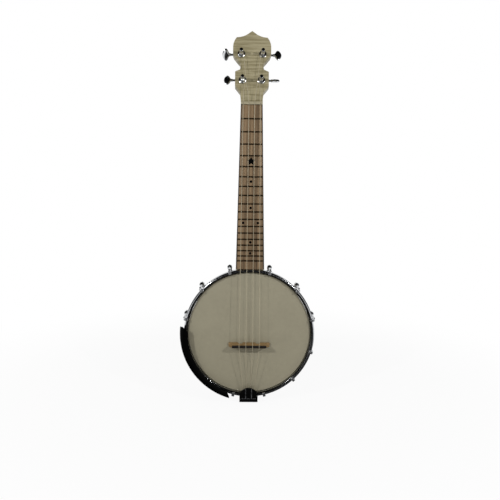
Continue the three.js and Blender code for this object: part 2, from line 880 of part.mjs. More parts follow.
function makeNeck() {
  const heelShares = [1, 0.97, 0.9, 0.8, 0.65, 0.45, 0.25, 0];
  const stations = [neckEndY, ...heelShares.map((share) => heelStartY - heelLength * share)];
  const collarY = nutY - collarLength;
  const stemSteps = 3;
  for (let i = 1; i <= stemSteps; i++) {
    stations.push(heelStartY + (collarY - heelStartY) * i / stemSteps);
  }
  const collarSteps = 4;
  for (let i = 1; i <= collarSteps; i++) {
    stations.push(collarY + collarLength * i / collarSteps);
  }
  stations.push(nutY + nutLength);
  const stem = solid(loft(stations.map(neckRing)));
  const tall = boardTop + rimDepth;
  const pot = rod(rimRadius + seat, -overrun, tall, potSteps).translate(0, potY, 0);
  const hoopSeat = rod(hoopOutside + boardGapAtHoop, hoopBack - hoopOverlap, tall, potSteps)
    .translate(0, potY, 0);
  const bed = extrude(outline([
    [-2 * blockHalf, potY],
    [2 * blockHalf, potY],
    [2 * blockHalf, nutY + nutLength + seat],
    [-2 * blockHalf, nutY + nutLength + seat],
  ]), tall, neckTop);
  const stud = rod(studRadius + seat, potY, potY + rimRadius + heelBite + overrun, 12)
    .rotateX(-Math.PI / 2).translate(0, 0, rodAboveBack);
  const head = solid(toHeadstock(skin(makeHeadstock())));
  return skin(cut(stem.add(head), pot, hoopSeat, bed, stud));
}

// Tuners

const tunerPlaces = [
  { name: '1', x: -postHalfUpper, y: postRiseUpper, button: buttonCentreUpper },
  { name: '2', x: -postHalfLower, y: postRiseLower, button: buttonCentreLower },
  { name: '3', x: postHalfLower, y: postRiseLower, button: buttonCentreLower },
  { name: '4', x: postHalfUpper, y: postRiseUpper, button: buttonCentreUpper },
].map((place, i) => ({ ...place, turned: buttonTurns[i] }));

function makeBushing({ x, y }) {
  const inside = postRadius + runningGap;
  const flange = bushingRadius + bushingFlange;
  return turn(closed([
    [inside, -bushingDepth],
    [bushingRadius, -bushingDepth],
    [bushingRadius, seat],
    [flange, seat],
    [flange, seat + bushingRise / 2],
    [flange - bushingFlange / 2, seat + bushingRise],
    [inside, seat + bushingRise],
  ]), 12).translate(x, y, 0);
}

// Straight-sided teeth that follow the worm's lead across the gear's width
function makeGear() {
  const toothAngle = 2 * Math.PI / gearTeeth;
  const rings = [gearBack, gearFront].map((z) => {
    const twist = (z - wormZ) * leadSlope / gearPitchRadius + Math.PI / 2;
    const ring = [];
    for (let tooth = 0; tooth < gearTeeth; tooth++) {
      const corners = [
        [gearRootRadius, -toothRootShare / 2],
        [gearTipRadius, -toothTipShare / 2],
        [gearTipRadius, toothTipShare / 2],
        [gearRootRadius, toothRootShare / 2],
      ];
      for (const [radius, share] of corners) {
        const angle = twist + (tooth + share) * toothAngle;
        ring.push(new THREE.Vector3(radius * Math.cos(angle), radius * Math.sin(angle), z));
      }
    }
    return ring;
  });
  return loft(rings);
}

function makePost({ x, y }) {
  const flareStart = seat + bushingRise + runningGap;
  const bossFront = plateBack - runningGap;
  const profile = [
    [0, gearBack - seat],
    [postRadius, gearBack - seat],
    [postRadius, (gearBack + gearFront) / 2],
    [gearBoss, (gearBack + gearFront) / 2],
    [gearBoss, bossFront],
    [postRadius, bossFront],
    [postRadius, flareStart],
    [postBaseRadius, flareStart],
    [postBaseRadius, (flareStart + loopHeight) / 2],
    [postWaistRadius, loopHeight - stringDiameter],
    [postWaistRadius, postWaistHeight + postHole],
    [postTopRadius, postFlareHeight],
    [postTopRadius, postHeight - postTopChamfer],
    [postTopRadius - postTopChamfer, postHeight],
    [0, postHeight],
  ];
  const hole = rod(postHole / 2, -postTopRadius - overrun, postTopRadius + overrun, 8)
    .rotateY(Math.PI / 2).translate(0, 0, postWaistHeight);
  const whole = cut(join(turn(profile, 10), makeGear()), hole);
  return skin(whole).translate(x, y, 0);
}

// The worm: a core with a single thread wound round it, its flanks facing the gear's teeth
function makeThread() {
  const turns = (wormLength - wormPitch) / wormPitch;
  const steps = Math.round(turns * threadSteps);
  const sink = wormRootRadius - shaftRadius / 2;
  const rings = [];
  for (let k = 0; k <= steps; k++) {
    const angle = turns * 2 * Math.PI * (k / steps - 0.5);
    const along = wormPitch * angle / (2 * Math.PI);
    const corners = [
      [sink, -threadRootShare / 2],
      [wormTipRadius, -threadTipShare / 2],
      [wormTipRadius, threadTipShare / 2],
      [sink, threadRootShare / 2],
    ];
    rings.push(corners.map(([radius, share]) => new THREE.Vector3(
      along + share * wormPitch, radius * Math.cos(angle), radius * Math.sin(angle))));
  }
  return loft(rings.map((ring) => ring.reverse()));
}

const buttonSides = 10;

// Stations along the button, each with its share of the half width and the half thickness
const buttonShares = [
  [0, 0.22, 0.85],
  [0.12, 0.32, 0.9],
  [0.3, 0.78, 1],
  [0.5, 1, 1],
  [0.72, 0.88, 0.95],
  [0.9, 0.52, 0.7],
  [1, 0.2, 0.35],
];

function makeButton(side, centre, turned) {
  const start = centre - buttonLength / 2;
  const rings = buttonShares.map(([along, wide, thick]) => circle(buttonSides).map(([c, s]) => (
    new THREE.Vector3(
      start + buttonLength * along,
      buttonHalfWidth * wide * c,
      buttonHalfThickness * thick * s))));
  const neck = rod(buttonNeckRadius, start - buttonNeckRadius, start + buttonLength / 4, 8)
    .rotateY(Math.PI / 2);
  const knob = join(loft(rings), neck);
  const geometry = skin(knob).rotateX(turned * degrees);
  return side < 0 ? geometry.rotateZ(Math.PI) : geometry;
}

function makeWorm({ x, y, button, turned }) {
  const side = Math.sign(x);
  const earOutside = wormLength / 2 + runningGap + plateSheet;
  const reach = button - Math.abs(x);
  const shaftFrom = side > 0 ? -(earOutside + shaftEnd) : -reach;
  const shaftTo = side > 0 ? reach : earOutside + shaftEnd;
  const lengthwise = (geometry) => geometry.rotateY(Math.PI / 2);
  const whole = join(
    lengthwise(rod(shaftRadius, shaftFrom, shaftTo, 8)),
    lengthwise(rod(wormRootRadius, -wormLength / 2, wormLength / 2, 8)),
    makeThread(),
    makeButton(side, reach, turned));
  return skin(whole).translate(x, y + wormDistance, wormZ);
}

function makePlate({ x, y }) {
  const half = wormLength / 2 + runningGap + plateSheet + plateMargin;
  const low = -plateTail;
  const high = wormDistance + plateNose;
  const shape = new THREE.Shape();
  shape.moveTo(-half + plateCorner, low);
  shape.lineTo(half - plateCorner, low);
  shape.quadraticCurveTo(half, low, half, low + plateCorner);
  shape.lineTo(half, high - plateCorner);
  shape.quadraticCurveTo(half, high, half - plateCorner, high);
  shape.lineTo(-half + plateCorner, high);
  shape.quadraticCurveTo(-half, high, -half, high - plateCorner);
  shape.lineTo(-half, low + plateCorner);
  shape.quadraticCurveTo(-half, low, -half + plateCorner, low);
  const sheet = extrude(shape, plateSheet, plateBack, 2);
  const earTop = wormZ - earHalf;
  const ear = () => sideExtrude(outline([
    [wormDistance - earHalf, plateBack + plateSheet / 2],
    [wormDistance - earHalf, wormZ],
    [wormDistance - earHalf / 2, earTop],
    [wormDistance + earHalf / 2, earTop],
    [wormDistance + earHalf, wormZ],
    [wormDistance + earHalf, plateBack + plateSheet / 2],
  ].reverse()), plateSheet);
  const earX = wormLength / 2 + runningGap + plateSheet / 2;
  const bearing = rod(shaftRadius + runningGap, -half - overrun, half + overrun, 12)
    .rotateY(Math.PI / 2).translate(0, wormDistance, wormZ);
  const eye = rod(postRadius + runningGap, plateBack - overrun, plateBack + plateSheet + overrun, 12);
  const whole = join(sheet, ear().translate(-earX, 0, 0), ear().translate(earX, 0, 0));
  return skin(cut(whole, bearing, eye)).translate(x, y, 0);
}

// Strings: from the anchor bar over the bridge and the nut, then wound round their posts

function tube(points, radius, sides) {
  const rings = [];
  const tangent = (i) => points[Math.min(i + 1, points.length - 1)].clone()
    .sub(points[Math.max(i - 1, 0)]).normalize();
  let normal = new THREE.Vector3(1, 0, 0);
  points.forEach((point, i) => {
    const along = tangent(i);
    normal = normal.clone().addScaledVector(along, -normal.dot(along)).normalize();
    const across = new THREE.Vector3().crossVectors(along, normal);
    rings.push(circle(sides).map(([c, s]) => point.clone()
      .addScaledVector(normal, radius * c).addScaledVector(across, radius * s)));
  });
  return loft(rings);
}

// A corner turned into a short curve that starts and ends one bend length away from it
function roundedCorner(before, corner, after, bend) {
  const from = corner.clone().add(before.clone().sub(corner).setLength(bend));
  const to = corner.clone().add(after.clone().sub(corner).setLength(bend));
  return new THREE.QuadraticBezierCurve3(from, corner, to).getPoints(3);
}

function headstockPoint(x, y, z) {
  return new THREE.Vector3(x, y, z)
    .applyAxisAngle(new THREE.Vector3(1, 0, 0), -headstockAngle * degrees)
    .add(new THREE.Vector3(0, headstockY, headstockZ));
}

function windingPoints(place) {
  const side = Math.sign(place.x);
  const radius = postWaistRadius + seat + stringDiameter / 2;
  const climb = stringDiameter + loopGap;
  const at = (turns, r, z) => {
    const angle = 2 * Math.PI * turns;
    return headstockPoint(place.x - side * r * Math.cos(angle), place.y + r * Math.sin(angle), z);
  };
  const points = [];
  for (let k = 0; k <= stringLoops * loopSteps; k++) {
    points.push(at(k / loopSteps, radius, loopHeight + climb * k / loopSteps));
  }
  const outside = postWaistRadius + seat + endLiftShare * stringDiameter;
  const top = Math.max(postWaistHeight, loopHeight + climb * stringLoops + climb);
  const liftSteps = 6;
  for (let k = 1; k <= liftSteps; k++) {
    const share = k / liftSteps;
    const z = loopHeight + climb * stringLoops + (top - loopHeight - climb * stringLoops) * share;
    points.push(at(stringLoops + share * endTurnShare, radius + (outside - radius) * share, z));
  }
  const turnIn = stringLoops + endTurnShare + endTuckShare;
  points.push(at(turnIn, outside - endTurnShare * stringDiameter, top));
  points.push(at(turnIn, postWaistRadius + seat + stringDiameter, top));
  points.push(at(turnIn, postWaistRadius + seat, top));
  return points;
}

function stringRoute(i) {
  const place = tunerPlaces[stringTuners[i]];
  const rest = stringDiameter / 2 + seat;
  const end = new THREE.Vector3(acrossSpan(stringSpanAtTail, i),
    potY - coverReach - anchorSetback + seat, coverBack - anchorHeight / 2);
  const bridge = new THREE.Vector3(acrossSpan(stringSpanAtBridge, i), bridgeY,
    bridgeTop - bridgeNotch + rest);
  const nut = new THREE.Vector3(acrossSpan(stringSpanAtNut, i), nutY + nutLength / 2,
    boardTop + nutRise - nutSlotDepth + rest);
  const winding = windingPoints(place);
  const straight = end.clone().add(new THREE.Vector3(0, stringDiameter, 0));
  return [
    end,
    straight,
    ...roundedCorner(straight, bridge, nut, stringBend),
    ...roundedCorner(bridge, nut, winding[0], stringBend),
    ...winding,
  ];
}

// The smallest distance between stretches of the string that are not neighbours, less its thickness
function leastSelfGap(points) {
  let least = Infinity;
  const apart = Math.round(loopSteps / 2);
  for (let i = 0; i < points.length; i++) {
    for (let j = i + apart; j < points.length; j++) {
      least = Math.min(least, points[i].distanceTo(points[j]) - stringDiameter);
    }
  }
  return least;
}

// Assembly

const model = new THREE.Group();
const add = (parent, name, geometry, finish) => parent.add(piece(name, geometry, finish));

add(model, 'rim', makeRim(), 'maple');
add(model, 'drum_head', makeHead(), 'film');
add(model, 'flesh_hoop', makeFleshHoop(), 'steel');
add(model, 'tension_hoop', makeTensionHoop(), 'chrome');

const hookStep = (lastHookAngle - firstHookAngle) / (hookPairCount - 1);
const hookAngles = Array.from({ length: hookPairCount }, (_, i) => firstHookAngle + hookStep * i);
const clockwise = [...hookAngles, ...hookAngles.map((angle) => -angle).reverse()];
clockwise.forEach((angle, i) => {
  const number = String(i + 1).padStart(2, '0');
  add(model, `hook_${number}`, makeHook(angle), 'chrome');
  add(model, `bracket_shoe_${number}`, makeShoe(angle), 'chrome');
});

add(model, 'coordinator_rod', makeCoordinatorRod(), 'steel');
add(model, 'tail_nut', makeTailNut(), 'steel');
add(model, 'tailpiece', makeTailpiece(), 'black');
add(model, 'tailpiece_hanger', makeHanger(), 'black');
add(model, 'armrest', makeArmrest(), 'black');
const clampAngles = [hookAngles[2] + hookStep / 2, hookAngles[4] + hookStep / 2];
add(model, 'armrest_clamp_upper', makeClamp(clampAngles[0]), 'steel');
add(model, 'armrest_clamp_lower', makeClamp(clampAngles[1]), 'steel');

add(model, 'neck', makeNeck(), 'maple');
add(model, 'fingerboard', makeFingerboard(), 'walnut');
add(model, 'nut', makeNut(), 'bone');
add(model, 'bridge_base', makeBridgeBase(), 'maple');
add(model, 'bridge_cap', makeBridgeCap(), 'ebony');

for (let i = 0; i < stringCount; i++) {
  const route = stringRoute(i);
  console.log(`string_${i + 1} least gap to itself ${leastSelfGap(route).toFixed(2)} mm`);
  add(model, `string_${i + 1}`, tube(route, stringDiameter / 2, stringSides), 'nylon');
}

const headstock = new THREE.Group();
headstock.rotation.x = -headstockAngle * degrees;
headstock.position.set(0, headstockY, headstockZ);
for (const place of tunerPlaces) {
  add(headstock, `tuner_plate_${place.name}`, makePlate(place), 'steel');
  add(headstock, `tuner_bushing_${place.name}`, makeBushing(place), 'chrome');
  add(headstock, `tuner_post_${place.name}`, makePost(place), 'chrome');
  add(headstock, `tuner_button_${place.name}`, makeWorm(place), 'chrome');
}
model.add(headstock);

const banjoUkulele = new THREE.Group();
model.rotation.x = Math.PI / 2;
banjoUkulele.add(model);
banjoUkulele.updateMatrixWorld(true);

export default banjoUkulele;
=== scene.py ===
"""A banjo ukulele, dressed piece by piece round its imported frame.

Pieces are drawn in metres as the face is seen: x to the right, y up the neck, z out of the face,
with z = 0 on the back edge of the rim. STAND turns that view upright into the frame.
"""

import json
import math
from contextlib import contextmanager

import bmesh
import bpy
from bpy.props import FloatProperty, FloatVectorProperty, IntProperty, PointerProperty
from mathutils import Matrix, Vector


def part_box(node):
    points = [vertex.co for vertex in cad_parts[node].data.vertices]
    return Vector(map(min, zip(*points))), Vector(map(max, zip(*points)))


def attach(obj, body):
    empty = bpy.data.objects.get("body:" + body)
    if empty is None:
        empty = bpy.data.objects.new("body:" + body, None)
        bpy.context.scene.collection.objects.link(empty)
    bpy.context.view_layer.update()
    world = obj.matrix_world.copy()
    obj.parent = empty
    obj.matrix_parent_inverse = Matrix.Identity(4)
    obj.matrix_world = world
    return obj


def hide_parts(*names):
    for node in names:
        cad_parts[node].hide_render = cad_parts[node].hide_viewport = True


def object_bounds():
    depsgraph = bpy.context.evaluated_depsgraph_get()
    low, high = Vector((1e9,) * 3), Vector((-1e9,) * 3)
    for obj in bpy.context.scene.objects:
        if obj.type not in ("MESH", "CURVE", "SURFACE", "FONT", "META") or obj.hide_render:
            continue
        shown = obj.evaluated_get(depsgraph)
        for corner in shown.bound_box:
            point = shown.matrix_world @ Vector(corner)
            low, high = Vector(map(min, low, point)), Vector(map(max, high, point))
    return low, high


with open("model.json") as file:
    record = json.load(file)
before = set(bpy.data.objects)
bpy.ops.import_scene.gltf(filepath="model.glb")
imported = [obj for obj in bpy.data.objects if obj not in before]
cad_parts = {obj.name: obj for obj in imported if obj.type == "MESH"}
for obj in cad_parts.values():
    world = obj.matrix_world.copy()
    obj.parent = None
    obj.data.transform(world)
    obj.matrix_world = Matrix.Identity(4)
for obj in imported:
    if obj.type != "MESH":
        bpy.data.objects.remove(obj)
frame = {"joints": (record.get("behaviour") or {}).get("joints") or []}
CAD_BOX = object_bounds()

bl_info = {
    "name": "Banjo ukulele",
    "version": (1, 0, 0),
    "blender": (4, 5, 0),
    "location": "View3D > Sidebar > Banjo ukulele",
    "description": "Models an open-backed banjo ukulele on its packed frame",
    "category": "Add Mesh",
}


# Places that the frame gives

def front_box(node):
    """Lowest and highest corner of a frame node, as the face is seen."""
    low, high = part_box(node)
    return Vector((low.x, low.z, -high.y)), Vector((high.x, high.z, -low.y))


STAND = Matrix.Rotation(math.radians(90), 4, "X")
RIM_LOW, RIM_HIGH = front_box("rim")
HEAD_LOW, HEAD_HIGH = front_box("drum_head")
HOOP_LOW, HOOP_HIGH = front_box("tension_hoop")
FLESH_LOW, FLESH_HIGH = front_box("flesh_hoop")
BOARD_LOW, BOARD_HIGH = front_box("fingerboard")
NUT_LOW, NUT_HIGH = front_box("nut")
ROD_LOW, ROD_HIGH = front_box("coordinator_rod")
POT_Y = (RIM_LOW.y + RIM_HIGH.y) / 2
TIP = POT_Y - front_box("tailpiece")[1].y
NUT_Y = BOARD_HIGH.y
ROD_Z = (ROD_LOW.z + ROD_HIGH.z) / 2
POT = STAND @ Matrix.Translation((0, POT_Y, 0))
JOINTS = {joint["name"]: joint for joint in frame["joints"]}
POST_AXIS = Vector(JOINTS["post_1_turn"]["axis"])
HEADSTOCK_TILT = math.atan2(POST_AXIS.z, -POST_AXIS.y)


def sizes_of(*names):
    """The property groups of these names."""
    return [getattr(bpy.context.scene, f"banjo_{name}") for name in names]


def at(x, y, z, degrees=0, axis="X"):
    """A place and a turn there."""
    return Matrix.Translation((x, y, z)) @ Matrix.Rotation(math.radians(degrees), 4, axis)


def around_pot(angle):
    """The place at an angle from the neck, clockwise, where y runs out along the radius."""
    return POT @ Matrix.Rotation(-angle, 4, "Z")


# Sizes and colours

def length(name, description, default):
    return FloatProperty(name=name, description=description, default=default, unit="LENGTH")


def angle(name, description, degrees):
    return FloatProperty(name=name, description=description, default=math.radians(degrees),
                         subtype="ANGLE")


def factor(name, description, default):
    return FloatProperty(name=name, description=description, default=default)


def count(name, description, default):
    return IntProperty(name=name, description=description, default=default, min=1)


def linear(code):
    """A written colour, such as 0xd8cba8, as the numbers that light is worked out with."""
    parts = [(code >> shift & 255) / 255 for shift in (16, 8, 0)]
    return [part / 12.92 if part <= 0.04045 else ((part + 0.055) / 1.055) ** 2.4
            for part in parts]


def colour(name, description, code):
    return FloatVectorProperty(name=name, description=description, default=linear(code),
                               subtype="COLOR", min=0, max=1)


class BanjoFit(bpy.types.PropertyGroup):
    """Fits that all pieces share"""
    seat: length("Seat", "Gap between pieces that touch", 0.0003)
    steps: count("Steps", "Faces round the pot", 160)
    lap: length("Lap", "How far parts of one piece run into each other", 0.001)
    nut_round: length("Nut round", "Broken edges of the nuts", 0.0002)


class BanjoPot(bpy.types.PropertyGroup):
    """Rim, head and hoops"""
    wall: length("Rim wall", "Thickness of the wooden rim", 0.009)
    edge_round: length("Edge round", "Round of the edge that the head bears on", 0.0009)
    film: length("Film", "Thickness of the head", 0.0005)
    hoop_slide: length("Hoop slide", "Gap between the head's skirt and the hoop", 0.0004)
    hoop_lip: length("Hoop lip", "Thickness of the hoop below the flesh hoop", 0.0024)
    hoop_round: length("Hoop round", "Width of the round of the hoop's outer edge", 0.0028)
    hoop_drop: length("Hoop drop", "How far that round goes down the hoop's side", 0.0024)
    hoop_crest: length("Hoop crest", "The hoop's crest from its inner edge", 0.0027)
    hoop_fall: length("Hoop fall", "The hoop's inner edge below its crest", 0.003)
    # Painted shade: the dark inner part of the hoop stands for the shade at its inner edge
    grime: length("Grime", "Width of the dark inner part of the hoop", 0.0018)
    back_edge: length("Back edge", "Broken edges at the rim's back", 0.0006)
    front_edge: length("Front edge", "Broken inner edge at the rim's front", 0.001)
    film_ring: length("Film ring", "Rings of faces on the head", 0.02)
    hoop_bulge: length("Hoop bulge", "Fullness of the round of the hoop's inner edge", 0.0003)
    # Where that painted shade starts over the hoop's inner edge
    grime_start: length("Grime start", "Where the dark part starts over the inner edge", 0.0002)


class BanjoHooks(bpy.types.PropertyGroup):
    """Hooks and bracket shoes"""
    pairs: count("Pairs", "Hooks on each side", 6)
    first: angle("First", "Angle of the first hook from the neck", 17.9)
    last: angle("Last", "Angle of the last hook from the neck", 166)
    rod: length("Rod", "Diameter of a hook's rod", 0.0038)
    rod_gap: length("Rod gap", "Gap between a hook's rod and the hoop", 0.0006)
    claw_width: length("Claw width", "Width of the claw over the hoop", 0.0042)
    claw_thickness: length("Claw thickness", "Thickness of the claw", 0.0018)
    claw_inset: length("Claw inset", "The claw's tip from the hoop's inner edge", 0.0015)
    claw_neck: length("Claw neck", "Flat part that turns down from the claw", 0.01)
    thread_tail: length("Thread tail", "Thread that shows behind the nut", 0.005)
    nut_width: length("Nut width", "Across the flats of a hook's nut", 0.0072)
    nut_height: length("Nut height", "Height of a hook's nut", 0.005)
    behind_hoop: length("Shoe depth", "Middle of a shoe behind the hoop's front", 0.039)
    ball_radius: length("Ball radius", "Radius of a shoe's drilled ball", 0.0044)
    ball_half: length("Ball half", "Half the height of a shoe's ball", 0.0037)
    pad_half: length("Pad half", "Half the width of a shoe's pad", 0.0055)
    pad_length: length("Pad length", "Length of a shoe's pad", 0.017)
    pad_thickness: length("Pad thickness", "Thickness of a shoe's pad", 0.0026)
    arm_half: length("Arm half", "Half the width of a shoe's arm", 0.0026)
    arm_length: length("Arm length", "Length of a shoe's arm at the pad", 0.009)
    claw_corner: length("Claw corner", "Corner inside the claw's bend", 0.0004)
    claw_round: length("Claw round", "Round of the claw's edges", 0.00085)
    ball_lip: length("Ball lip", "Flat round the ball's hole", 0.0006)
    pad_corner: length("Pad corner", "Round of the pad's corners", 0.004)
    pad_round: length("Pad round", "Round of the pad's face", 0.0012)
    arm_sink: length("Arm sink", "How far the arm runs into the pad", 0.0008)
    arm_flare: length("Arm flare", "Length of the arm's flare", 0.0015)
    arm_round: length("Arm round", "Round of the arm's edges", 0.0007)


class BanjoBolt(bpy.types.PropertyGroup):
    """Bolts of the shoes inside the rim"""
    radius: length("Radius", "Radius of a bolt", 0.0019)
    hole: length("Hole", "Radius of a washer's hole", 0.0022)
    washer: length("Washer", "Radius of a washer", 0.005)
    washer_back: length("Washer back", "A washer's far face from the wall", 0.0011)
    nut: length("Nut", "Across the flats of a bolt's nut", 0.0064)
    nut_back: length("Nut back", "A nut's far face from the wall", 0.0042)
    nut_front: length("Nut front", "A nut's near face from the wall", 0.0012)
    end: length("End", "A bolt's end from the wall", 0.0056)
    depth: length("Depth", "Depth of a bolt in the wall", 0.002)


class BanjoTail(bpy.types.PropertyGroup):
    """Coordinator rod, tailpiece and its hanger"""
    rod: length("Rod", "Radius of the coordinator rod", 0.004)
    stud: length("Stud", "Radius of the rod's studs", 0.003)
    rod_nut: length("Rod nut", "Across the flats of the rod's nuts", 0.013)
    rod_nut_length: length("Rod nut length", "Length of the rod's nuts", 0.005)
    half: length("Half", "Half the width of the cover", 0.0152)
    arch_half: length("Arch half", "Half the width of the cover's arch", 0.013)
    arch_rise: length("Arch rise", "How far the arch rises over its ends", 0.006)
    sheet: length("Sheet", "Thickness of the cover", 0.0018)
    bend: length("Bend", "Round where the cover turns down", 0.003)
    above_hoop: length("Above the hoop", "Gap between the hoop and the cover", 0.0021)
    skirt: length("Skirt", "Depth of the cover's foot", 0.014)
    rib_half: length("Rib half", "Half the width of a rib", 0.0007)
    rib_offset: length("Rib offset", "A rib from the middle line", 0.0049)
    rib_height: length("Rib height", "Height of the ribs over the cover", 0.001)
    step_rise: length("Step rise", "The cover's cross step over its foot", 0.0072)
    step_width: length("Step width", "Width of the cross step", 0.0008)
    anchor_setback: length("Anchor setback", "The anchor bar behind the cover's tip", 0.007)
    anchor_thickness: length("Anchor thickness", "Thickness of the anchor bar", 0.003)
    anchor_height: length("Anchor height", "Height of the anchor bar", 0.0046)
    hanger_half: length("Hanger half", "Half the width of the hanger", 0.005)
    hanger_sheet: length("Hanger sheet", "Thickness of the hanger", 0.002)
    knee_drop: length("Knee drop", "Height of the hanger's crank", 0.008)
    rod_edge: length("Rod edge", "Broken edges of the rod", 0.0005)
    tail_nut: length("Tail nut", "Across the flats of the nut on the hanger", 0.01)
    overhang: length("Overhang", "The cover past the hoop", 0.0085)
    cover_round: length("Cover round", "Round of the cover's edges", 0.0005)
    strap_round: length("Strap round", "Round of the hanger's and the bar's edges", 0.0004)
    rib_round: length("Rib round", "Round of a rib's edges", 0.0005)
    rib_inset: length("Rib inset", "A rib inside the cover's outline", 0.0008)
    step_round: length("Step round", "Round of the cross step's edges", 0.0003)
    step_sink: length("Step sink", "How far the step and the boss are let in", 0.0002)
    step_height: length("Step height", "Height of the cross step", 0.0004)
    boss: length("Boss", "Radius of the boss on the foot", 0.0016)
    boss_height: length("Boss height", "Height of the boss", 0.001)


class BanjoArmrest(bpy.types.PropertyGroup):
    """Armrest and its clamps"""
    start: angle("Start", "Angle of the upper end from the neck", 83.2)
    end: angle("End", "Angle of the lower end from the neck", 163.5)
    start_slant: angle("Start slant", "How far the upper end leans inwards", 5.2)
    end_slant: angle("End slant", "How far the lower end leans inwards", 4.5)
    inset: length("Inset", "The inner edge inside the hoop", 0.0016)
    above_claw: length("Above the claws", "Gap between the claws and the armrest", 0.0022)
    crown: length("Crown", "Height of the crown", 0.0032)
    curl: length("Curl", "How far the outer edge turns down", 0.008)
    taper: length("Taper", "How much the band narrows to its lower end", 0.003)
    curl_setback: angle("Curl setback", "How far the turned edge draws back at the ends", 2.2)
    sheet: length("Sheet", "Thickness of the armrest", 0.002)
    clamp_half: length("Clamp half", "Half the width of a clamp", 0.0045)
    clamp_sheet: length("Clamp sheet", "Thickness of a clamp", 0.0012)
    clamp_foot: length("Clamp foot", "How far a clamp reaches behind the hoop", 0.02)
    knee_drop: length("Knee drop", "Height of a clamp's crank", 0.01)
    steps: count("Steps", "Faces along the armrest", 72)
    round: length("Round", "Round of the ends' edges", 0.0006)
    start_bow: factor("Start bow", "How bowed the upper end is", 2.4)
    cut: factor("Cut", "Share of each side that its rounded corners take", 0.22)
    screw: length("Screw", "Radius of a clamp's screw", 0.0028)
    strap_round: length("Strap round", "Round of a clamp's edges", 0.0004)


class BanjoNeck(bpy.types.PropertyGroup):
    """Neck, heel and headstock"""
    depth_at_nut: length("Depth at nut", "Depth of the neck at the nut", 0.011)
    depth_at_heel: length("Depth at heel", "Depth of the neck before the heel", 0.0155)
    heel_length: length("Heel length", "Length of the heel's sweep", 0.054)
    heel_above_back: length("Heel above back", "The heel's end over the rim's back", 0.006)
    heel_bite: length("Heel bite", "How far the stud goes into the heel", 0.013)
    collar: length("Collar", "Length over which the neck squares up to the headstock", 0.024)
    headstock_depth: length("Headstock depth", "Thickness of the headstock", 0.0125)
    headstock_drop: length("Headstock drop", "The headstock's face below the board", 0.003)
    hoop_gap: length("Hoop gap", "Cut behind the hoop", 0.001)
    bore_end: length("Bore end", "The bore past the stud's end", 0.002)
    round: length("Round", "Round of the neck's edges", 0.0004)
    headstock_round: length("Headstock round", "Round of the headstock's edges", 0.0007)
    steps: count("Steps", "Faces round the neck's back", 32)
    heel_bow: factor("Heel bow", "How late the heel's sweep rises", 1.5)
    heel_pinch: factor("Heel pinch", "How much the heel narrows to its back", 0.42)
    fullness: factor("Fullness", "How square the neck's section is, with 2 for an oval", 2.3)
    heel_fullness: factor("Heel fullness", "How much squarer the heel is", 0.4)
    collar_fullness: factor("Collar fullness", "How much squarer the collar is", 6.7)


class BanjoBoard(bpy.types.PropertyGroup):
    """Fingerboard, frets, inlays and nut"""
    scale: length("Scale", "Length of the strings that sound", 0.38)
    half_at_nut: length("Half at nut", "Half the width of the board at the nut", 0.0171)
    half_at_end: length("Half at end", "Half the width of the board at the pot", 0.023)
    thickness: length("Thickness", "Thickness of the board", 0.006)
    edge: length("Edge", "Width of the dark strip along each edge", 0.0012)
    fret_width: length("Fret width", "Width of a fret", 0.0022)
    fret_height: length("Fret height", "Height of a fret", 0.0011)
    last_fret: length("Last fret", "Least distance of the last fret from the end", 0.01)
    star: length("Star", "Radius of the star", 0.0074)
    dot: length("Dot", "Radius of a dot", 0.0021)
    dot_pair: length("Dot pair", "Each of the two dots from the middle line", 0.0118)
    nut_rise: length("Nut rise", "The nut over the board", 0.0022)
    slot_width: length("Slot width", "Width of a string's slot", 0.0013)
    slot_depth: length("Slot depth", "Depth of a string's slot in the nut", 0.0009)
    round: length("Round", "Round of the board's edges", 0.0002)
    edge_round: length("Edge round", "Round of the strips' edges", 0.0003)
    fret_sunk: length("Fret sunk", "How far a fret is let in", 0.0006)
    fret_inset: length("Fret inset", "A fret's end inside the board's edge", 0.0003)
    fret_round: length("Fret round", "Round of a fret's ends", 0.0003)
    inlay_depth: length("Inlay depth", "How far the inlays are let in", 0.0004)
    inlay_rise: length("Inlay rise", "The inlays over the board", 0.00004)
    star_waist: factor("Star waist", "The star's inner points, as a share of its radius", 0.48)
    nut_round: length("Nut round", "Round of the nut's edges", 0.00025)


class BanjoBridge(bpy.types.PropertyGroup):
    """Bridge on the head"""
    below_nut: length("Below the nut", "The bridge from the nut", 0.3871)
    height: length("Height", "Height of the bridge", 0.016)
    cap_height: length("Cap height", "Height of the ebony cap", 0.003)
    cap_half: length("Cap half", "Half the length of the cap", 0.0282)
    foot_half: length("Foot half", "Half the length over the feet", 0.034)
    foot_length: length("Foot length", "Length of an outer foot", 0.015)
    middle_length: length("Middle length", "Length of the middle foot", 0.019)
    foot_rise: length("Foot rise", "Height of the outer feet's tips", 0.0026)
    arch_rise: length("Arch rise", "Height of the arches", 0.006)
    foot_thickness: length("Foot thickness", "Thickness at the feet", 0.007)
    top_thickness: length("Top thickness", "Thickness at the cap", 0.0042)
    notch: length("Notch", "Depth of a string's notch", 0.0009)
    round: length("Round", "Round of the maple's edges", 0.0003)
    cap_round: length("Cap round", "Round of the cap's edges", 0.0002)


class BanjoStrings(bpy.types.PropertyGroup):
    """Strings and where they cross the nut, the bridge and the tailpiece"""
    diameter: length("Diameter", "Diameter of a string", 0.00075)
    at_nut: length("At the nut", "Outer strings apart at the nut", 0.0268)
    at_bridge: length("At the bridge", "Outer strings apart at the bridge", 0.033)
    at_tail: length("At the tail", "Outer strings apart at the anchor bar", 0.019)
    loops: count("Loops", "Windings on a post", 2)
    loop_gap: length("Loop gap", "Gap between windings", 0.0005)
    loop_height: length("Loop height", "First winding over the headstock", 0.0054)
    bend: length("Bend", "Length of a string's bend over an edge", 0.0025)
    tuck: factor("Tuck", "Part of a turn to where a string goes into its hole", 0.32)


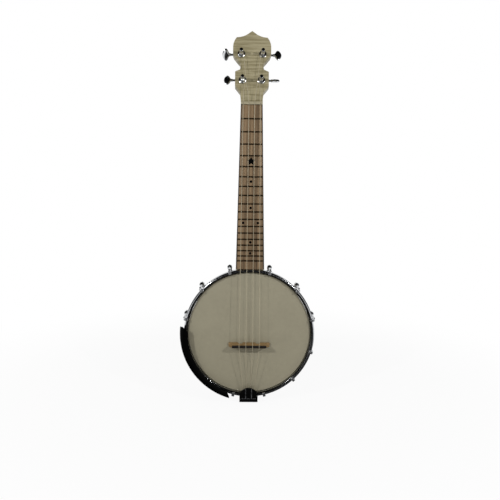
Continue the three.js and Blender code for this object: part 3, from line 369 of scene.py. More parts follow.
class BanjoTuners(bpy.types.PropertyGroup):
    """Posts, gears, worms, plates and buttons"""
    post: length("Post", "Radius of a post in its bushing", 0.003)
    post_base: length("Post base", "Radius of a post over its bushing", 0.0034)
    post_waist: length("Post waist", "Radius of a post where the string is wound", 0.0022)
    post_top: length("Post top", "Radius of a post's top", 0.0028)
    post_height: length("Post height", "A post over the headstock", 0.014)
    hole: length("Hole", "Diameter of the hole for the string", 0.0016)
    hole_height: length("Hole height", "The hole over the headstock", 0.0086)
    bushing_wall: length("Bushing wall", "Thickness of a bushing", 0.001)
    flange: length("Flange", "Width of a bushing's flange", 0.0019)
    flange_rise: length("Flange rise", "Height of a bushing's flange", 0.002)
    bushing_depth: length("Bushing depth", "Depth of a bushing in the headstock", 0.008)
    plate: length("Plate", "Thickness of a plate", 0.0012)
    plate_margin: length("Plate margin", "A plate past its ears", 0.0012)
    plate_tail: length("Plate tail", "A plate below its post", 0.0065)
    plate_nose: length("Plate nose", "A plate above its worm", 0.0048)
    plate_corner: length("Plate corner", "Round of a plate's corners", 0.0025)
    ear_half: length("Ear half", "Half the width of an ear", 0.0034)
    teeth: count("Teeth", "Teeth of a gear", 14)
    module: length("Module", "Size of a gear's teeth", 0.00085)
    gear_width: length("Gear width", "Width of a gear", 0.0034)
    gear_boss: length("Gear boss", "Radius of a gear's boss", 0.0038)
    worm: length("Worm", "Pitch radius of a worm", 0.0029)
    worm_length: length("Worm length", "Length of a worm", 0.01)
    shaft: length("Shaft", "Radius of a worm's shaft", 0.0017)
    shaft_end: length("Shaft end", "A shaft past its ear", 0.0012)
    button_length: length("Button length", "Length of a button along its shaft", 0.012)
    button_half: length("Button half", "Half the width of a button", 0.01)
    button_thickness: length("Button thickness", "Half the thickness of a button", 0.0026)
    button_neck: length("Button neck", "Radius of a button's neck", 0.0023)
    reach_upper: length("Upper reach", "Middle of an upper button from the middle line", 0.042)
    reach_lower: length("Lower reach", "Middle of a lower button from the middle line", 0.039)
    plate_round: length("Plate round", "Round of a plate's edges", 0.00025)
    screw: length("Screw", "Radius of a plate's screw", 0.0018)
    screw_shank: length("Screw shank", "Length of a plate's screw", 0.006)
    screw_inset: length("Screw inset", "A screw from the plate's edges", 0.0022)
    bushing_edge: length("Bushing edge", "Broken edges of a bushing", 0.0002)
    tooth_edge: length("Tooth edge", "Broken edges of the teeth", 0.00008)
    post_edge: length("Post edge", "Round of a post's end", 0.0005)
    post_step: length("Post step", "Length of a post's base", 0.001)
    waist_low: length("Waist low", "Where a post's waist starts", 0.00465)
    waist_high: length("Waist high", "Where a post widens to its head", 0.0118)
    head_low: length("Head low", "Where a post's head starts", 0.0126)
    gear_screw: length("Gear screw", "Radius of a gear's screw", 0.0024)
    gear_screw_height: length("Gear screw height", "Height of its head", 0.001)
    shaft_edge: length("Shaft edge", "Broken edges of a shaft", 0.0002)
    thread_edge: length("Thread edge", "Broken edge of the worm's thread", 0.0001)


class BanjoFinishes(bpy.types.PropertyGroup):
    """Colours of the finishes"""
    maple_light: colour("Maple light", "Light bands of the figured maple", 0xb0a789)
    maple_dark: colour("Maple dark", "Dark bands of the figured maple", 0x7b7252)
    film: colour("Film", "The head", 0x948e79)
    chrome: colour("Chrome", "Plated brass", 0xd6d8da)
    steel: colour("Steel", "Brushed steel", 0x9b9da0)
    black: colour("Black", "Black lacquer", 0x050505)
    shell: colour("Shell", "Black moulding of the armrest and the inlays", 0x030303)
    board_light: colour("Board light", "Light streaks of the fingerboard", 0x9a8060)
    board_dark: colour("Board dark", "Dark streaks of the fingerboard", 0x473620)
    bridge: colour("Bridge", "Maple of the bridge", 0x8e734c)
    fret: colour("Fret", "Fret wire, browned", 0x5e513c)
    ebony: colour("Ebony", "Ebony of the cap and the board's edges", 0x1a1512)
    bone: colour("Bone", "Bone of the nut", 0x9f977d)
    nylon: colour("Nylon", "Strings", 0xaba28a)


class BanjoStage(bpy.types.PropertyGroup):
    """Camera, lamps and floor"""
    camera_place: FloatVectorProperty(name="Camera place", description="Where the camera stands",
                                      default=(-0.0105, -0.7883, 0.31135), subtype="TRANSLATION")
    camera_down: angle("Camera down", "How far the camera looks down", 5.92)
    camera_yaw: angle("Camera yaw", "How far the camera looks to the right", 0.81)
    camera_roll: angle("Camera roll", "How far the camera leans", 0.64)
    camera_lens: FloatProperty(name="Lens", description="Focal length on a 36 mm wide frame",
                               default=32.53, unit="CAMERA")
    lamp_power: FloatProperty(name="Lamp power", description="Power of each studio lamp",
                              default=5.2, unit="POWER")
    lamp_size: length("Lamp size", "Side of each square lamp", 0.045)
    lamp_distance: length("Lamp distance", "A lamp from the middle of the neck", 1.2)
    fill: factor("Fill", "Strength of the even light from all sides", 0.38)
    card_strength: factor("Card strength", "White cards that metal mirrors at both sides", 0.1)
    floor_size: length("Floor size", "Side of the floor", 8)
    floor_gap: length("Floor gap", "The floor below the object", 0.0005)
    floor_dark: length("Floor dark", "Half the width of floor that metal mirrors as white", 0.22)
    lamp_aim: length("Lamp aim", "Height that the lamps point at", 0.28)
    lamp_aside: factor("Lamp aside", "A lamp's way to the side, for one to the front", 0.92)
    lamp_rise: factor("Lamp rise", "A lamp's way up, for one to the front", 0.5)


# Modelling by hand

# How far cutters reach past what they cut, a little way and right through
PAST = 0.01
FAR = 0.2


def deselect():
    bpy.ops.object.select_all(action="DESELECT")


def activate(piece, *others):
    deselect()
    for each in (piece, *others):
        each.select_set(True)
    bpy.context.view_layer.objects.active = piece


@contextmanager
def editing(piece):
    activate(piece)
    bpy.ops.object.mode_set(mode="EDIT")
    bpy.ops.mesh.select_mode(type="VERT")
    yield bmesh.from_edit_mesh(piece.data)
    bpy.ops.object.mode_set(mode="OBJECT")


def choose(mesh, parts, test):
    """Selects just the vertices, edges or faces of the edited mesh that pass the test."""
    bpy.ops.mesh.select_all(action="DESELECT")
    for part in parts:
        part.select_set(test(part))
    mesh.select_flush(True)


def named(name):
    piece = bpy.context.active_object
    piece.name = piece.data.name = name
    return piece


def chain(name, points):
    """Edges through the points, drawn by extruding one vertex from each to the next."""
    deselect()
    bpy.ops.mesh.primitive_plane_add(size=0.01)
    piece = named(name)
    points = [Vector(point) for point in points]
    with editing(piece):
        bpy.ops.mesh.select_all(action="SELECT")
        bpy.ops.mesh.merge(type="CENTER")
        bpy.ops.transform.translate(value=points[0])
        for before, after in zip(points, points[1:]):
            bpy.ops.mesh.extrude_region_move(
                TRANSFORM_OT_translate={"value": after - before})
    return piece


def clean(distance=1e-6):
    """Merges doubles of the edited mesh and turns its faces outwards."""
    bpy.ops.mesh.select_all(action="SELECT")
    bpy.ops.mesh.remove_doubles(threshold=distance)
    bpy.ops.mesh.normals_make_consistent(inside=False)


def turned(name, profile, steps=32, closed=False):
    """A profile of radius and height turned about z. A closed profile ends where it starts."""
    if closed:
        profile = [*profile, profile[0]]
    piece = chain(name, [(0, radius, height) for radius, height in profile])
    with editing(piece):
        bpy.ops.mesh.select_all(action="SELECT")
        bpy.ops.mesh.spin(steps=steps, angle=math.radians(360), center=(0, 0, 0), axis=(0, 0, 1))
        clean()
    return piece


def cylinder(name, radius, low, high, steps=28):
    """A round bar about z."""
    return turned(name, [(0, low), (radius, low), (radius, high), (0, high)], steps)


def plank(name, corners, depth):
    """A flat outline of corners in space, filled and extruded along the depth vector."""
    piece = chain(name, [*corners, corners[0]])
    with editing(piece):
        bpy.ops.mesh.select_all(action="SELECT")
        bpy.ops.mesh.remove_doubles(threshold=1e-7)
        bpy.ops.mesh.edge_face_add()
        bpy.ops.mesh.extrude_region_move(TRANSFORM_OT_translate={"value": depth})
        clean(1e-7)
    return piece


def flat(name, corners, back, front):
    """An outline of x and y, filled from one height to another."""
    return plank(name, [(x, y, back) for x, y in corners], (0, 0, front - back))


def side(name, corners, width):
    """A side view of y and z, filled to a width that is centred on x = 0."""
    return plank(name, [(-width / 2, y, z) for y, z in corners], (width, 0, 0))


def upright(name, corners, depth):
    """A front view of x and z, filled to a depth that is centred on y = 0."""
    return plank(name, [(x, -depth / 2, z) for x, z in corners], (0, depth, 0))


def lofted(name, rings):
    """A skin over rings of equal count, with both ends filled."""
    around = len(rings[0])
    deselect()
    bpy.ops.mesh.primitive_grid_add(x_subdivisions=around, y_subdivisions=len(rings) - 1)
    piece = named(name)
    points = (point for ring in rings for point in [*ring, ring[0]])
    for vertex, point in zip(piece.data.vertices, points):
        vertex.co = point
    with editing(piece):
        clean(1e-7)
        bpy.ops.mesh.select_all(action="DESELECT")
        bpy.ops.mesh.select_non_manifold()
        bpy.ops.mesh.fill_holes(sides=0)
        clean(1e-7)
    return piece


def tube(name, points, radius):
    """A round bar along a smooth line, with closed ends."""
    line = bpy.data.curves.new(name, "CURVE")
    line.dimensions = "3D"
    line.bevel_depth = radius
    line.bevel_resolution = 2
    line.use_fill_caps = True
    spline = line.splines.new("POLY")
    spline.points.add(len(points) - 1)
    for point, spot in zip(spline.points, points):
        point.co = (*spot, 1)
    piece = bpy.data.objects.new(name, line)
    bpy.context.scene.collection.objects.link(piece)
    activate(piece)
    bpy.ops.object.convert(target="MESH")
    piece = named(name)
    with editing(piece):
        clean(1e-7)
    return piece


def modify(piece, kind, **settings):
    """Adds a modifier and applies it."""
    activate(piece)
    modifier = piece.modifiers.new(kind, kind)
    for key, value in settings.items():
        setattr(modifier, key, value)
    bpy.ops.object.modifier_apply(modifier=modifier.name)
    return piece


def bevel(piece, width, segments=2, limit=30):
    return modify(piece, "BEVEL", width=width, segments=segments, limit_method="ANGLE",
                  angle_limit=math.radians(limit))


def discard(piece):
    bpy.data.meshes.remove(piece.data)


def carve(piece, *tools, operation="DIFFERENCE"):
    """Cuts pieces out of a piece, or joins or keeps what they share, and drops them."""
    for tool in tools:
        modify(piece, "BOOLEAN", operation=operation, object=tool, solver="EXACT")
        discard(tool)
    return piece


def combine(*pieces, name=None):
    """Makes one object of several whose shells just meet."""
    activate(*pieces)
    bpy.ops.object.join()
    return named(name) if name else pieces[0]


def place(piece, matrix):
    """Moves a piece by a matrix and leaves its object at the origin."""
    piece.matrix_world = matrix
    activate(piece)
    bpy.ops.object.transform_apply(location=True, rotation=True, scale=True)
    if matrix.determinant() < 0:
        with editing(piece):
            clean()
    return piece


def copied(piece, name, matrix):
    """A copy with its own mesh, moved by a matrix."""
    twin = piece.copy()
    twin.data = piece.data.copy()
    twin.name = twin.data.name = name
    bpy.context.scene.collection.objects.link(twin)
    return place(twin, matrix)


def install(piece, material, slot, *nodes, body="instrument", smooth=35):
    """Gives a finished piece its look, its body and the frame nodes that it stands for."""
    activate(piece)
    bpy.ops.object.shade_smooth_by_angle(angle=math.radians(smooth))
    piece.data.materials.clear()
    piece.data.materials.append(material)
    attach(piece, body)
    if nodes:
        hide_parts(*nodes)
    return piece


def rectangle(left, low, right, high):
    return [(left, low), (right, low), (right, high), (left, high)]


def both_sides(right):
    """An outline of its right half and the same back on the left."""
    return [*right, *((-x, y) for x, y in reversed(right) if x)]


def arc(centre, radius, start, end, steps):
    """Points of a round from one angle to another, in degrees."""
    turns = (math.radians(start + (end - start) * i / steps) for i in range(steps + 1))
    return [(centre[0] + radius * math.cos(turn), centre[1] + radius * math.sin(turn))
            for turn in turns]


def hexagon(name, width, low, high, chamfer=0.0004):
    """A nut with broken corners about the z axis."""
    corner = width / math.sqrt(3)
    piece = cylinder(name, corner, low, high, 6)
    cone = turned("cone", [(0, low - chamfer), (corner - chamfer * 2.4, low - chamfer * 0.3),
                           (corner, low + chamfer), (corner, high - chamfer),
                           (corner - chamfer * 2.4, high + chamfer * 0.3), (0, high + chamfer)], 32)
    return carve(piece, cone, operation="INTERSECT")


def threaded(name, radius, low, high, pitch=0.0007, depth=0.00025):
    """A rod with a ring for each turn of its thread."""
    turns = round((high - low) / pitch)
    profile = [(0, low)]
    for i in range(turns):
        start = low + i * pitch
        profile += [(radius - depth, start), (radius, start + pitch * 0.45),
                    (radius, start + pitch * 0.55)]
    profile += [(radius - depth, low + turns * pitch), (radius - depth, high), (0, high)]
    return turned(name, profile, 14)


def curve(start, control, end, steps):
    """Points after the start of a curve that leaves for the control point and ends at the end."""
    shares = (i / steps for i in range(1, steps + 1))
    return [tuple((1 - t) ** 2 * a + 2 * (1 - t) * t * b + t ** 2 * c
                  for a, b, c in zip(start, control, end)) for t in shares]


# Materials

class Wire:
    """A node's output. Arithmetic on wires adds Math nodes."""

    def __init__(self, tree, socket):
        self.tree = tree
        self.socket = socket

    def __add__(self, other):
        return self.tree.math("ADD", self, other)

    def __sub__(self, other):
        return self.tree.math("SUBTRACT", self, other)

    def __rsub__(self, other):
        return self.tree.math("SUBTRACT", other, self)

    def __mul__(self, other):
        return self.tree.math("MULTIPLY", self, other)

    def __pow__(self, other):
        return self.tree.math("POWER", self, other)

    __radd__ = __add__
    __rmul__ = __mul__


class Nodes:
    """A node tree and the nodes that are added to it."""

    def __init__(self, tree):
        self.tree = tree

    def node(self, kind, settings=None, inputs=(), output=0):
        """Adds a node: its settings first, then the values or wires of its sockets."""
        made = self.tree.nodes.new(kind)
        for key, value in (settings or {}).items():
            setattr(made, key, value)
        pairs = inputs.items() if isinstance(inputs, dict) else enumerate(inputs)
        for key, value in pairs:
            if isinstance(value, Wire):
                self.tree.links.new(value.socket, made.inputs[key])
            else:
                made.inputs[key].default_value = value
        return Wire(self, made.outputs[output])

    def math(self, operation, *values):
        return self.node("ShaderNodeMath", {"operation": operation}, values)

    def ray(self, kind):
        return self.node("ShaderNodeLightPath", output=f"Is {kind} Ray")

    def axes(self, vector):
        parts = self.node("ShaderNodeSeparateXYZ", inputs=(vector,)).socket.node
        return [Wire(self, socket) for socket in parts.outputs]

    def point(self, x, y, z):
        return self.node("ShaderNodeCombineXYZ", inputs=(x, y, z))

    def noise(self, vector, scale, detail=2, roughness=0.5, distortion=0):
        return self.node("ShaderNodeTexNoise", inputs={
            "Vector": vector, "Scale": scale, "Detail": detail, "Roughness": roughness,
            "Distortion": distortion})

    def spread(self, value, low, high, start=0, end=1, smooth=False):
        """The value from low to high, spread over start to end and held inside them."""
        kind = "SMOOTHSTEP" if smooth else "LINEAR"
        return self.node("ShaderNodeMapRange", {"interpolation_type": kind},
                         {"Value": value, "From Min": low, "From Max": high,
                          "To Min": start, "To Max": end})

    def mix(self, share, *tones):
        """Two colours mixed by a share."""
        first, second = (tone if isinstance(tone, Wire) else (*tone, 1) for tone in tones)
        return self.node("ShaderNodeMix", {"data_type": "RGBA"},
                         {0: share, 6: first, 7: second}, 2)


class Finish(Nodes):
    """A material and the nodes that vary it over a surface."""

    def __init__(self, name, **constants):
        self.material = bpy.data.materials.new(name)
        self.material.use_nodes = True
        super().__init__(self.material.node_tree)
        self.shader = self.tree.nodes["Principled BSDF"]
        self.output = self.tree.nodes["Material Output"]
        self.here = self.node("ShaderNodeTexCoord", output="Object")
        for socket, value in constants.items():
            self.feed(socket.replace("_", " "), value)

    def feed(self, socket, value):
        target = self.shader.inputs[socket]
        if isinstance(value, Wire):
            self.tree.links.new(value.socket, target)
        elif hasattr(value, "__len__") and len(value) == 3:
            target.default_value = (*value, 1)
        else:
            target.default_value = value

    def cloud(self, scale, detail=2, roughness=0.5, distortion=0):
        return self.noise(self.here, scale, detail, roughness, distortion)

    def streaks(self, scales, detail=2, roughness=0.5, distortion=0, axes=None):
        """Noise drawn out along the axes, where a small scale is a long streak."""
        flow = self.point(*(axis * scale for axis, scale in
                            zip(axes or self.axes(self.here), scales)))
        return self.noise(flow, 1, detail, roughness, distortion)

    def radius(self):
        """The distance from the pot's axis."""
        x, _, z = self.axes(self.here)
        return (x * x + (z - POT_Y) * (z - POT_Y)) ** 0.5

    def tint(self, share, tone, low, high):
        """A colour from one strength of it to another."""
        return self.mix(share, shade(tone, low), shade(tone, high))

    def made(self, tone, roughness, height, distance, strength):
        """The material with this colour, roughness and relief."""
        self.feed("Base Color", tone)
        self.feed("Roughness", roughness)
        self.feed("Normal", self.node("ShaderNodeBump", inputs={
            "Strength": strength, "Distance": distance, "Height": height}))
        return self.material


def shade(tone, share):
    return [part * share for part in tone]


def maple(name, finishes, along):
    """Figured maple under satin lacquer, its grain round the pot or along the neck."""
    finish = Finish(name, Coat_Weight=0.12, Coat_Roughness=0.25, Specular_IOR_Level=0.3)
    flow = x, y, z = finish.axes(finish.here)
    if along == "ring":
        flow = finish.radius(), y, finish.math("ARCTAN2", x, z - POT_Y) * 0.1
    band = finish.streaks((22, 22, 330), 2, 0.55, 0.5, flow)
    flame = finish.spread(band, 0.38, 0.62, smooth=True)
    grain = finish.spread(finish.streaks((1500, 1500, 14), 3, 0.6, axes=flow), 0.3, 0.7)
    drift = finish.streaks((30, 30, 6), axes=flow)
    dark = finishes.maple_dark
    tone = finish.mix(flame * 0.55 + drift * 0.45, dark, finishes.maple_light)
    tone = finish.mix(0.22 * grain, tone, shade(dark, 0.75))
    if along == "ring":
        ply = finish.math("PINGPONG", flow[0] - RIM_HIGH.x, 0.0015)
        tone = finish.mix(0.6 * finish.spread(ply, 0.00135, 0.00148), tone, shade(dark, 0.35))
    return finish.made(tone, 0.42 - 0.1 * flame, grain * 0.5 + flame * 0.5, 0.00003, 0.5)


def film(name, finishes):
    """Frosted head film, a little mottled."""
    finish = Finish(name, IOR=1.45)
    cloud, mottle = finish.cloud(22, 4, 0.6, 0.4), finish.cloud(160, 3, 0.6)
    speck = finish.cloud(1400)
    worn = finish.spread(cloud * 0.6 + mottle * 0.4, 0.35, 0.65)
    return finish.made(finish.tint(worn, finishes.film, 0.94, 1.05), 0.5 + 0.14 * speck,
                       speck * 0.7 + mottle * 0.3, 0.00004, 0.35)


def chrome(name, finishes, grime=None):
    """Polished plating with faint wipes and a little tarnish. Round the pot it can take painted
    shade, dark inside a radius and in front of a height."""
    finish = Finish(name, Metallic=1)
    cloud, wipe = finish.cloud(90, 3, 0.6), finish.cloud(900)
    tone = finish.tint(0.35 * finish.spread(cloud, 0.5, 0.75), finishes.chrome, 1, 0.72)
    # Painted shade: the plating goes near black inside a radius and in front of a height, where the
    # hoop's inner edge lies in shade
    if grime:
        edge, height = grime
        _, y, _ = finish.axes(finish.here)
        inside = finish.spread(finish.radius() + 0.0006 * cloud, edge, edge + 0.0012, 1, 0)
        front = finish.spread(y, -height, -height - 0.0004)
        tone = finish.mix(0.92 * inside * front, tone, shade(finishes.black, 2))
    return finish.made(tone, 0.12 + 0.1 * cloud * wipe, wipe, 0.000004, 0.1)


def satin(name, finishes):
    """Plating of the hooks, dulled by handling where they show at the front."""
    finish = Finish(name, Metallic=1)
    _, y, _ = finish.axes(finish.here)
    rubbed = finish.spread(y, -HOOP_HIGH.z + 0.002, -HOOP_HIGH.z - 0.0006, smooth=True)
    cloud, fine = finish.cloud(160, 3, 0.6), finish.cloud(2400)
    return finish.made(finish.tint(cloud, finishes.chrome, 0.8, 1),
                       0.12 + 0.08 * cloud + (0.18 + 0.16 * fine) * rubbed, fine, 0.000006, 0.3)


def steel(name, finishes):
    """Steel brushed along its length."""
    finish = Finish(name, Metallic=1)
    brush, cloud = finish.streaks((4000, 4000, 260), 2, 0.6), finish.cloud(70, 3)
    return finish.made(finish.tint(cloud, finishes.steel, 0.8, 1), 0.24 + 0.2 * brush,
                       brush, 0.00001, 0.4)


def lacquer(name, finishes):
    """Black lacquer on metal, with faint orange peel."""
    finish = Finish(name, Specular_IOR_Level=0.2, Coat_Weight=0.06, Coat_Roughness=0.12)
    cloud, peel = finish.cloud(60, 4, 0.6), finish.cloud(700)
    return finish.made(finish.tint(cloud, finishes.black, 0.8, 1.5), 0.3 + 0.16 * cloud,
                       peel, 0.00003, 0.3)


def shell(name, finishes):
    """Near-black moulding with a satin skin."""
    finish = Finish(name, IOR=1.46, Specular_IOR_Level=0.05)
    cloud, fine = finish.cloud(45, 4, 0.6), finish.cloud(1600)
    return finish.made(finish.tint(cloud, finishes.shell, 0.7, 1.5), 0.42 + 0.2 * cloud,
                       fine, 0.00002, 0.3)


def worn_metal(name, finishes):
    """Grey metal on the ribs: a painted highlight where their raised tops would catch the lamps."""
    finish = Finish(name, Metallic=0.6)
    cloud = finish.cloud(240, 4, 0.65)
    # The share of lighter grey in the painted highlight, spread by noise
    rubbed = finish.spread(cloud, 0.35, 0.6)
    return finish.made(finish.tint(rubbed, finishes.steel, 0.12, 0.6), 0.42 - 0.12 * rubbed,
                       cloud, 0.00003, 0.3)


def board_wood(name, finishes):
    """Brown board with long streaks and open pores."""
    finish = Finish(name, IOR=1.45)
    broad = finish.streaks((230, 230, 5), 3, 0.6, 0.4)
    fine = finish.streaks((1300, 1300, 30), 3, 0.6)
    streak = finish.spread(broad, 0.3, 0.7, smooth=True)
    pores = finish.spread(finish.streaks((2600, 2600, 110)), 0.56, 0.7)
    dark = finishes.board_dark
    tone = finish.mix(streak * 0.65 + fine * 0.35, dark, finishes.board_light)
    return finish.made(finish.mix(0.45 * pores, tone, shade(dark, 0.5)), 0.5 + 0.2 * pores,
                       1 - pores, 0.00005, 0.4)


def bridge_wood(name, finishes):
    """Plain maple, unlacquered, its grain along the bridge."""
    finish = Finish(name, IOR=1.45)
    grain, broad = finish.streaks((40, 1500, 1200), 3, 0.6), finish.streaks((12, 300, 260))
    return finish.made(finish.tint(grain * 0.5 + broad * 0.5, finishes.bridge, 0.75, 1.15),
                       0.55 + 0.1 * grain, grain, 0.00003, 0.4)


def ebony(name, finishes):
    """Near-black wood with faint brown streaks."""
    finish = Finish(name, IOR=1.45)
    grain = finish.streaks((1200, 1200, 60), 3, 0.6)
    return finish.made(finish.tint(grain, finishes.ebony, 0.6, 1.7), 0.36 + 0.15 * grain,
                       grain, 0.00002, 0.3)


def bone(name, finishes):
    """Polished bone, a little streaked."""
    finish = Finish(name, Coat_Weight=0.2, IOR=1.5)
    streak = finish.streaks((90, 600, 600), 3, 0.6)
    return finish.made(finish.tint(streak, finishes.bone, 0.84, 1.08), 0.34 + 0.12 * streak,
                       streak, 0.00001, 0.3)


def nickel(name, finishes):
    """Fret wire, browned, with fine scratches."""
    finish = Finish(name, Metallic=1)
    scratch, cloud = finish.cloud(2200), finish.cloud(120, 3)
    return finish.made(finish.tint(cloud, finishes.fret, 0.75, 1.15), 0.2 + 0.16 * scratch,
                       scratch, 0.000008, 0.3)


def nylon(name, finishes):
    """Milky nylon, a little uneven along its length."""
    finish = Finish(name, Specular_IOR_Level=0.3, IOR=1.53)
    z = finish.axes(finish.here)[2]
    wave = finish.noise(finish.point(0, 0, z * 160), 1, 3, 0.6)
    return finish.made(finish.tint(wave, finishes.nylon, 0.88, 1), 0.42 + 0.12 * wave,
                       wave, 0.00001, 0.2)


MADE = {}


def look(maker, *extra, name=None):
    """The material of a finish, made on its first use."""
    kind = name or maker.__name__
    if kind not in MADE:
        MADE[kind] = maker(kind, *sizes_of("finishes"), *extra)
    return MADE[kind]


# Pot

class BANJO_OT_rim(bpy.types.Operator):
    """Turn the wooden rim and drill it for the coordinator rod"""
    bl_idname = "banjo.rim"
    bl_label = "Rim"

    def execute(self, context):
        pot, tail, fit = sizes_of("pot", "tail", "fit")
        outside, front, broken = RIM_HIGH.x, RIM_HIGH.z, pot.back_edge
        inside, bearing = outside - pot.wall, pot.edge_round
        rim = turned("rim_wood", [
            (inside, broken), (inside + broken, 0), (outside - broken, 0), (outside, broken),
            *arc((outside - bearing, front - bearing), bearing, 0, 90, 6),
            (inside + pot.front_edge, front), (inside, front - pot.front_edge)],
            fit.steps, closed=True)
        bore = cylinder("bore", tail.stud + fit.seat, -outside - PAST, outside + PAST, 24)
        carve(rim, place(bore, at(0, 0, ROD_Z, 90)))
        install(place(rim, POT), look(maple, "ring", name="rim_maple"), "maple", "rim")
        return {"FINISHED"}


class BANJO_OT_head(bpy.types.Operator):
    """Stretch the head film over the rim and wrap it on its flesh hoop"""
    bl_idname = "banjo.head"
    bl_label = "Head"

    def execute(self, context):
        pot, fit = sizes_of("pot", "fit")
        centre = (RIM_HIGH.x - pot.edge_round, RIM_HIGH.z - pot.edge_round)
        under = pot.edge_round + fit.seat
        rings = [pot.film_ring * k for k in range(1, 5)]
        back = HEAD_HIGH.z - pot.film
        head = turned("head_film", [
            (0, back), *((radius, back) for radius in rings),
            *arc(centre, under, 90, 0, 10), (RIM_HIGH.x + fit.seat, HEAD_LOW.z),
            (HEAD_HIGH.x, HEAD_LOW.z), *arc(centre, under + pot.film, 0, 90, 10),
            *((radius, HEAD_HIGH.z) for radius in reversed(rings)), (0, HEAD_HIGH.z)], fit.steps)
        install(place(head, POT), look(film, name="head_film"), "head_film", "drum_head")
        wire = (FLESH_HIGH.z - FLESH_LOW.z) / 2
        middle = (FLESH_HIGH.x - wire, FLESH_LOW.z + wire)
        flesh = turned("flesh_wire", arc(middle, wire, 0, 360, 14)[:-1], fit.steps, closed=True)
        install(place(flesh, POT), look(steel), "steel", "flesh_hoop")
        return {"FINISHED"}


def hoop_inside():
    pot, = sizes_of("pot")
    return HEAD_HIGH.x + pot.hoop_slide


class BANJO_OT_tension_hoop(bpy.types.Operator):
    """Turn the plated hoop that pulls the head down"""
    bl_idname = "banjo.tension_hoop"
    bl_label = "Tension hoop"

    def execute(self, context):
        pot, fit = sizes_of("pot", "fit")
        inside, outside, front, back = hoop_inside(), HOOP_HIGH.x, HOOP_HIGH.z, HOOP_LOW.z
        lip, step = outside - pot.hoop_lip, FLESH_HIGH.z + fit.seat
        side_end, crest = (outside, front - pot.hoop_drop), (inside + pot.hoop_crest, front)
        hoop = turned("hoop_plated", [
            (inside, step), (lip, step), (lip, back), (outside, back), side_end,
            *curve(side_end, (outside, front), (outside - pot.hoop_round, front), 10), crest,
            *curve(crest, (inside + pot.hoop_bulge, front - pot.hoop_bulge),
                   (inside, front - pot.hoop_fall), 8)], fit.steps, closed=True)
        # The hoop's inner edge gets painted shade
        plated = look(chrome, (inside + pot.grime, front - pot.hoop_fall + pot.grime_start),
                      name="hoop_chrome")
        install(place(hoop, POT), plated, "chrome", "tension_hoop")
        return {"FINISHED"}


def hook_angles():
    hooks, = sizes_of("hooks")
    step = (hooks.last - hooks.first) / (hooks.pairs - 1)
    right = [hooks.first + step * i for i in range(hooks.pairs)]
    return [*right, *(-turn for turn in reversed(right))]


def hook_circle(hooks):
    return HOOP_HIGH.x + hooks.rod_gap + hooks.rod / 2


def set_round(*parts):
    """Copies parts to each hook's place, where each copy stands for its own node."""
    for i, turn in enumerate(hook_angles(), 1):
        for piece, name, material, slot, *nodes in parts:
            twin = copied(piece, f"{name}_{i:02d}", around_pot(turn))
            install(twin, material, slot, *(f"{node}_{i:02d}" for node in nodes))
    for piece, *_ in parts:
        discard(piece)


class BANJO_OT_hooks(bpy.types.Operator):
    """Forge one hook with its nut and set twelve of them round the hoop"""
    bl_idname = "banjo.hooks"
    bl_label = "Hooks"

    def execute(self, context):
        hooks, fit = sizes_of("hooks", "fit")
        circle, radius, thick = hook_circle(hooks), hooks.rod / 2, hooks.claw_thickness
        inner, outer = circle - radius, circle - radius + thick
        tip, corner = hoop_inside() + hooks.claw_inset, hooks.claw_corner
        back = HOOP_HIGH.z + fit.seat
        front, shoulder = back + thick, back - hooks.claw_neck
        bend = thick + fit.seat
        claw = side("claw", [
            (tip, back), (inner - corner, back), (inner, back - corner), (inner, shoulder),
            (outer, shoulder), *arc((outer - bend, front - bend), bend, 0, 90, 6),
            *arc((tip + thick / 2, front - thick / 2), thick / 2, 90, 180, 4)], hooks.claw_width)
        bevel(claw, hooks.claw_round, 5)
        nut_front = HOOP_HIGH.z - hooks.behind_hoop - hooks.ball_half - fit.seat
        nut_back, lap = nut_front - hooks.nut_height, fit.lap
        neck = (radius, shoulder + lap)
        plain = turned("stem", [
            (0, nut_front - lap), (radius, nut_front - lap), neck,
            *curve(neck, (radius, shoulder + 3 * lap), (0, shoulder + hooks.claw_neck / 2), 6)], 20)
        thread = threaded("thread", radius, nut_back - hooks.thread_tail, nut_front)
        nut = bevel(hexagon("nut", hooks.nut_width, nut_back, nut_front), fit.nut_round)
        for part in (plain, thread, nut):
            place(part, at(0, circle, 0))
        hook = combine(claw, plain, thread, nut)
        set_round((hook, "hook_plated", look(satin), "chrome", "hook"))
        return {"FINISHED"}


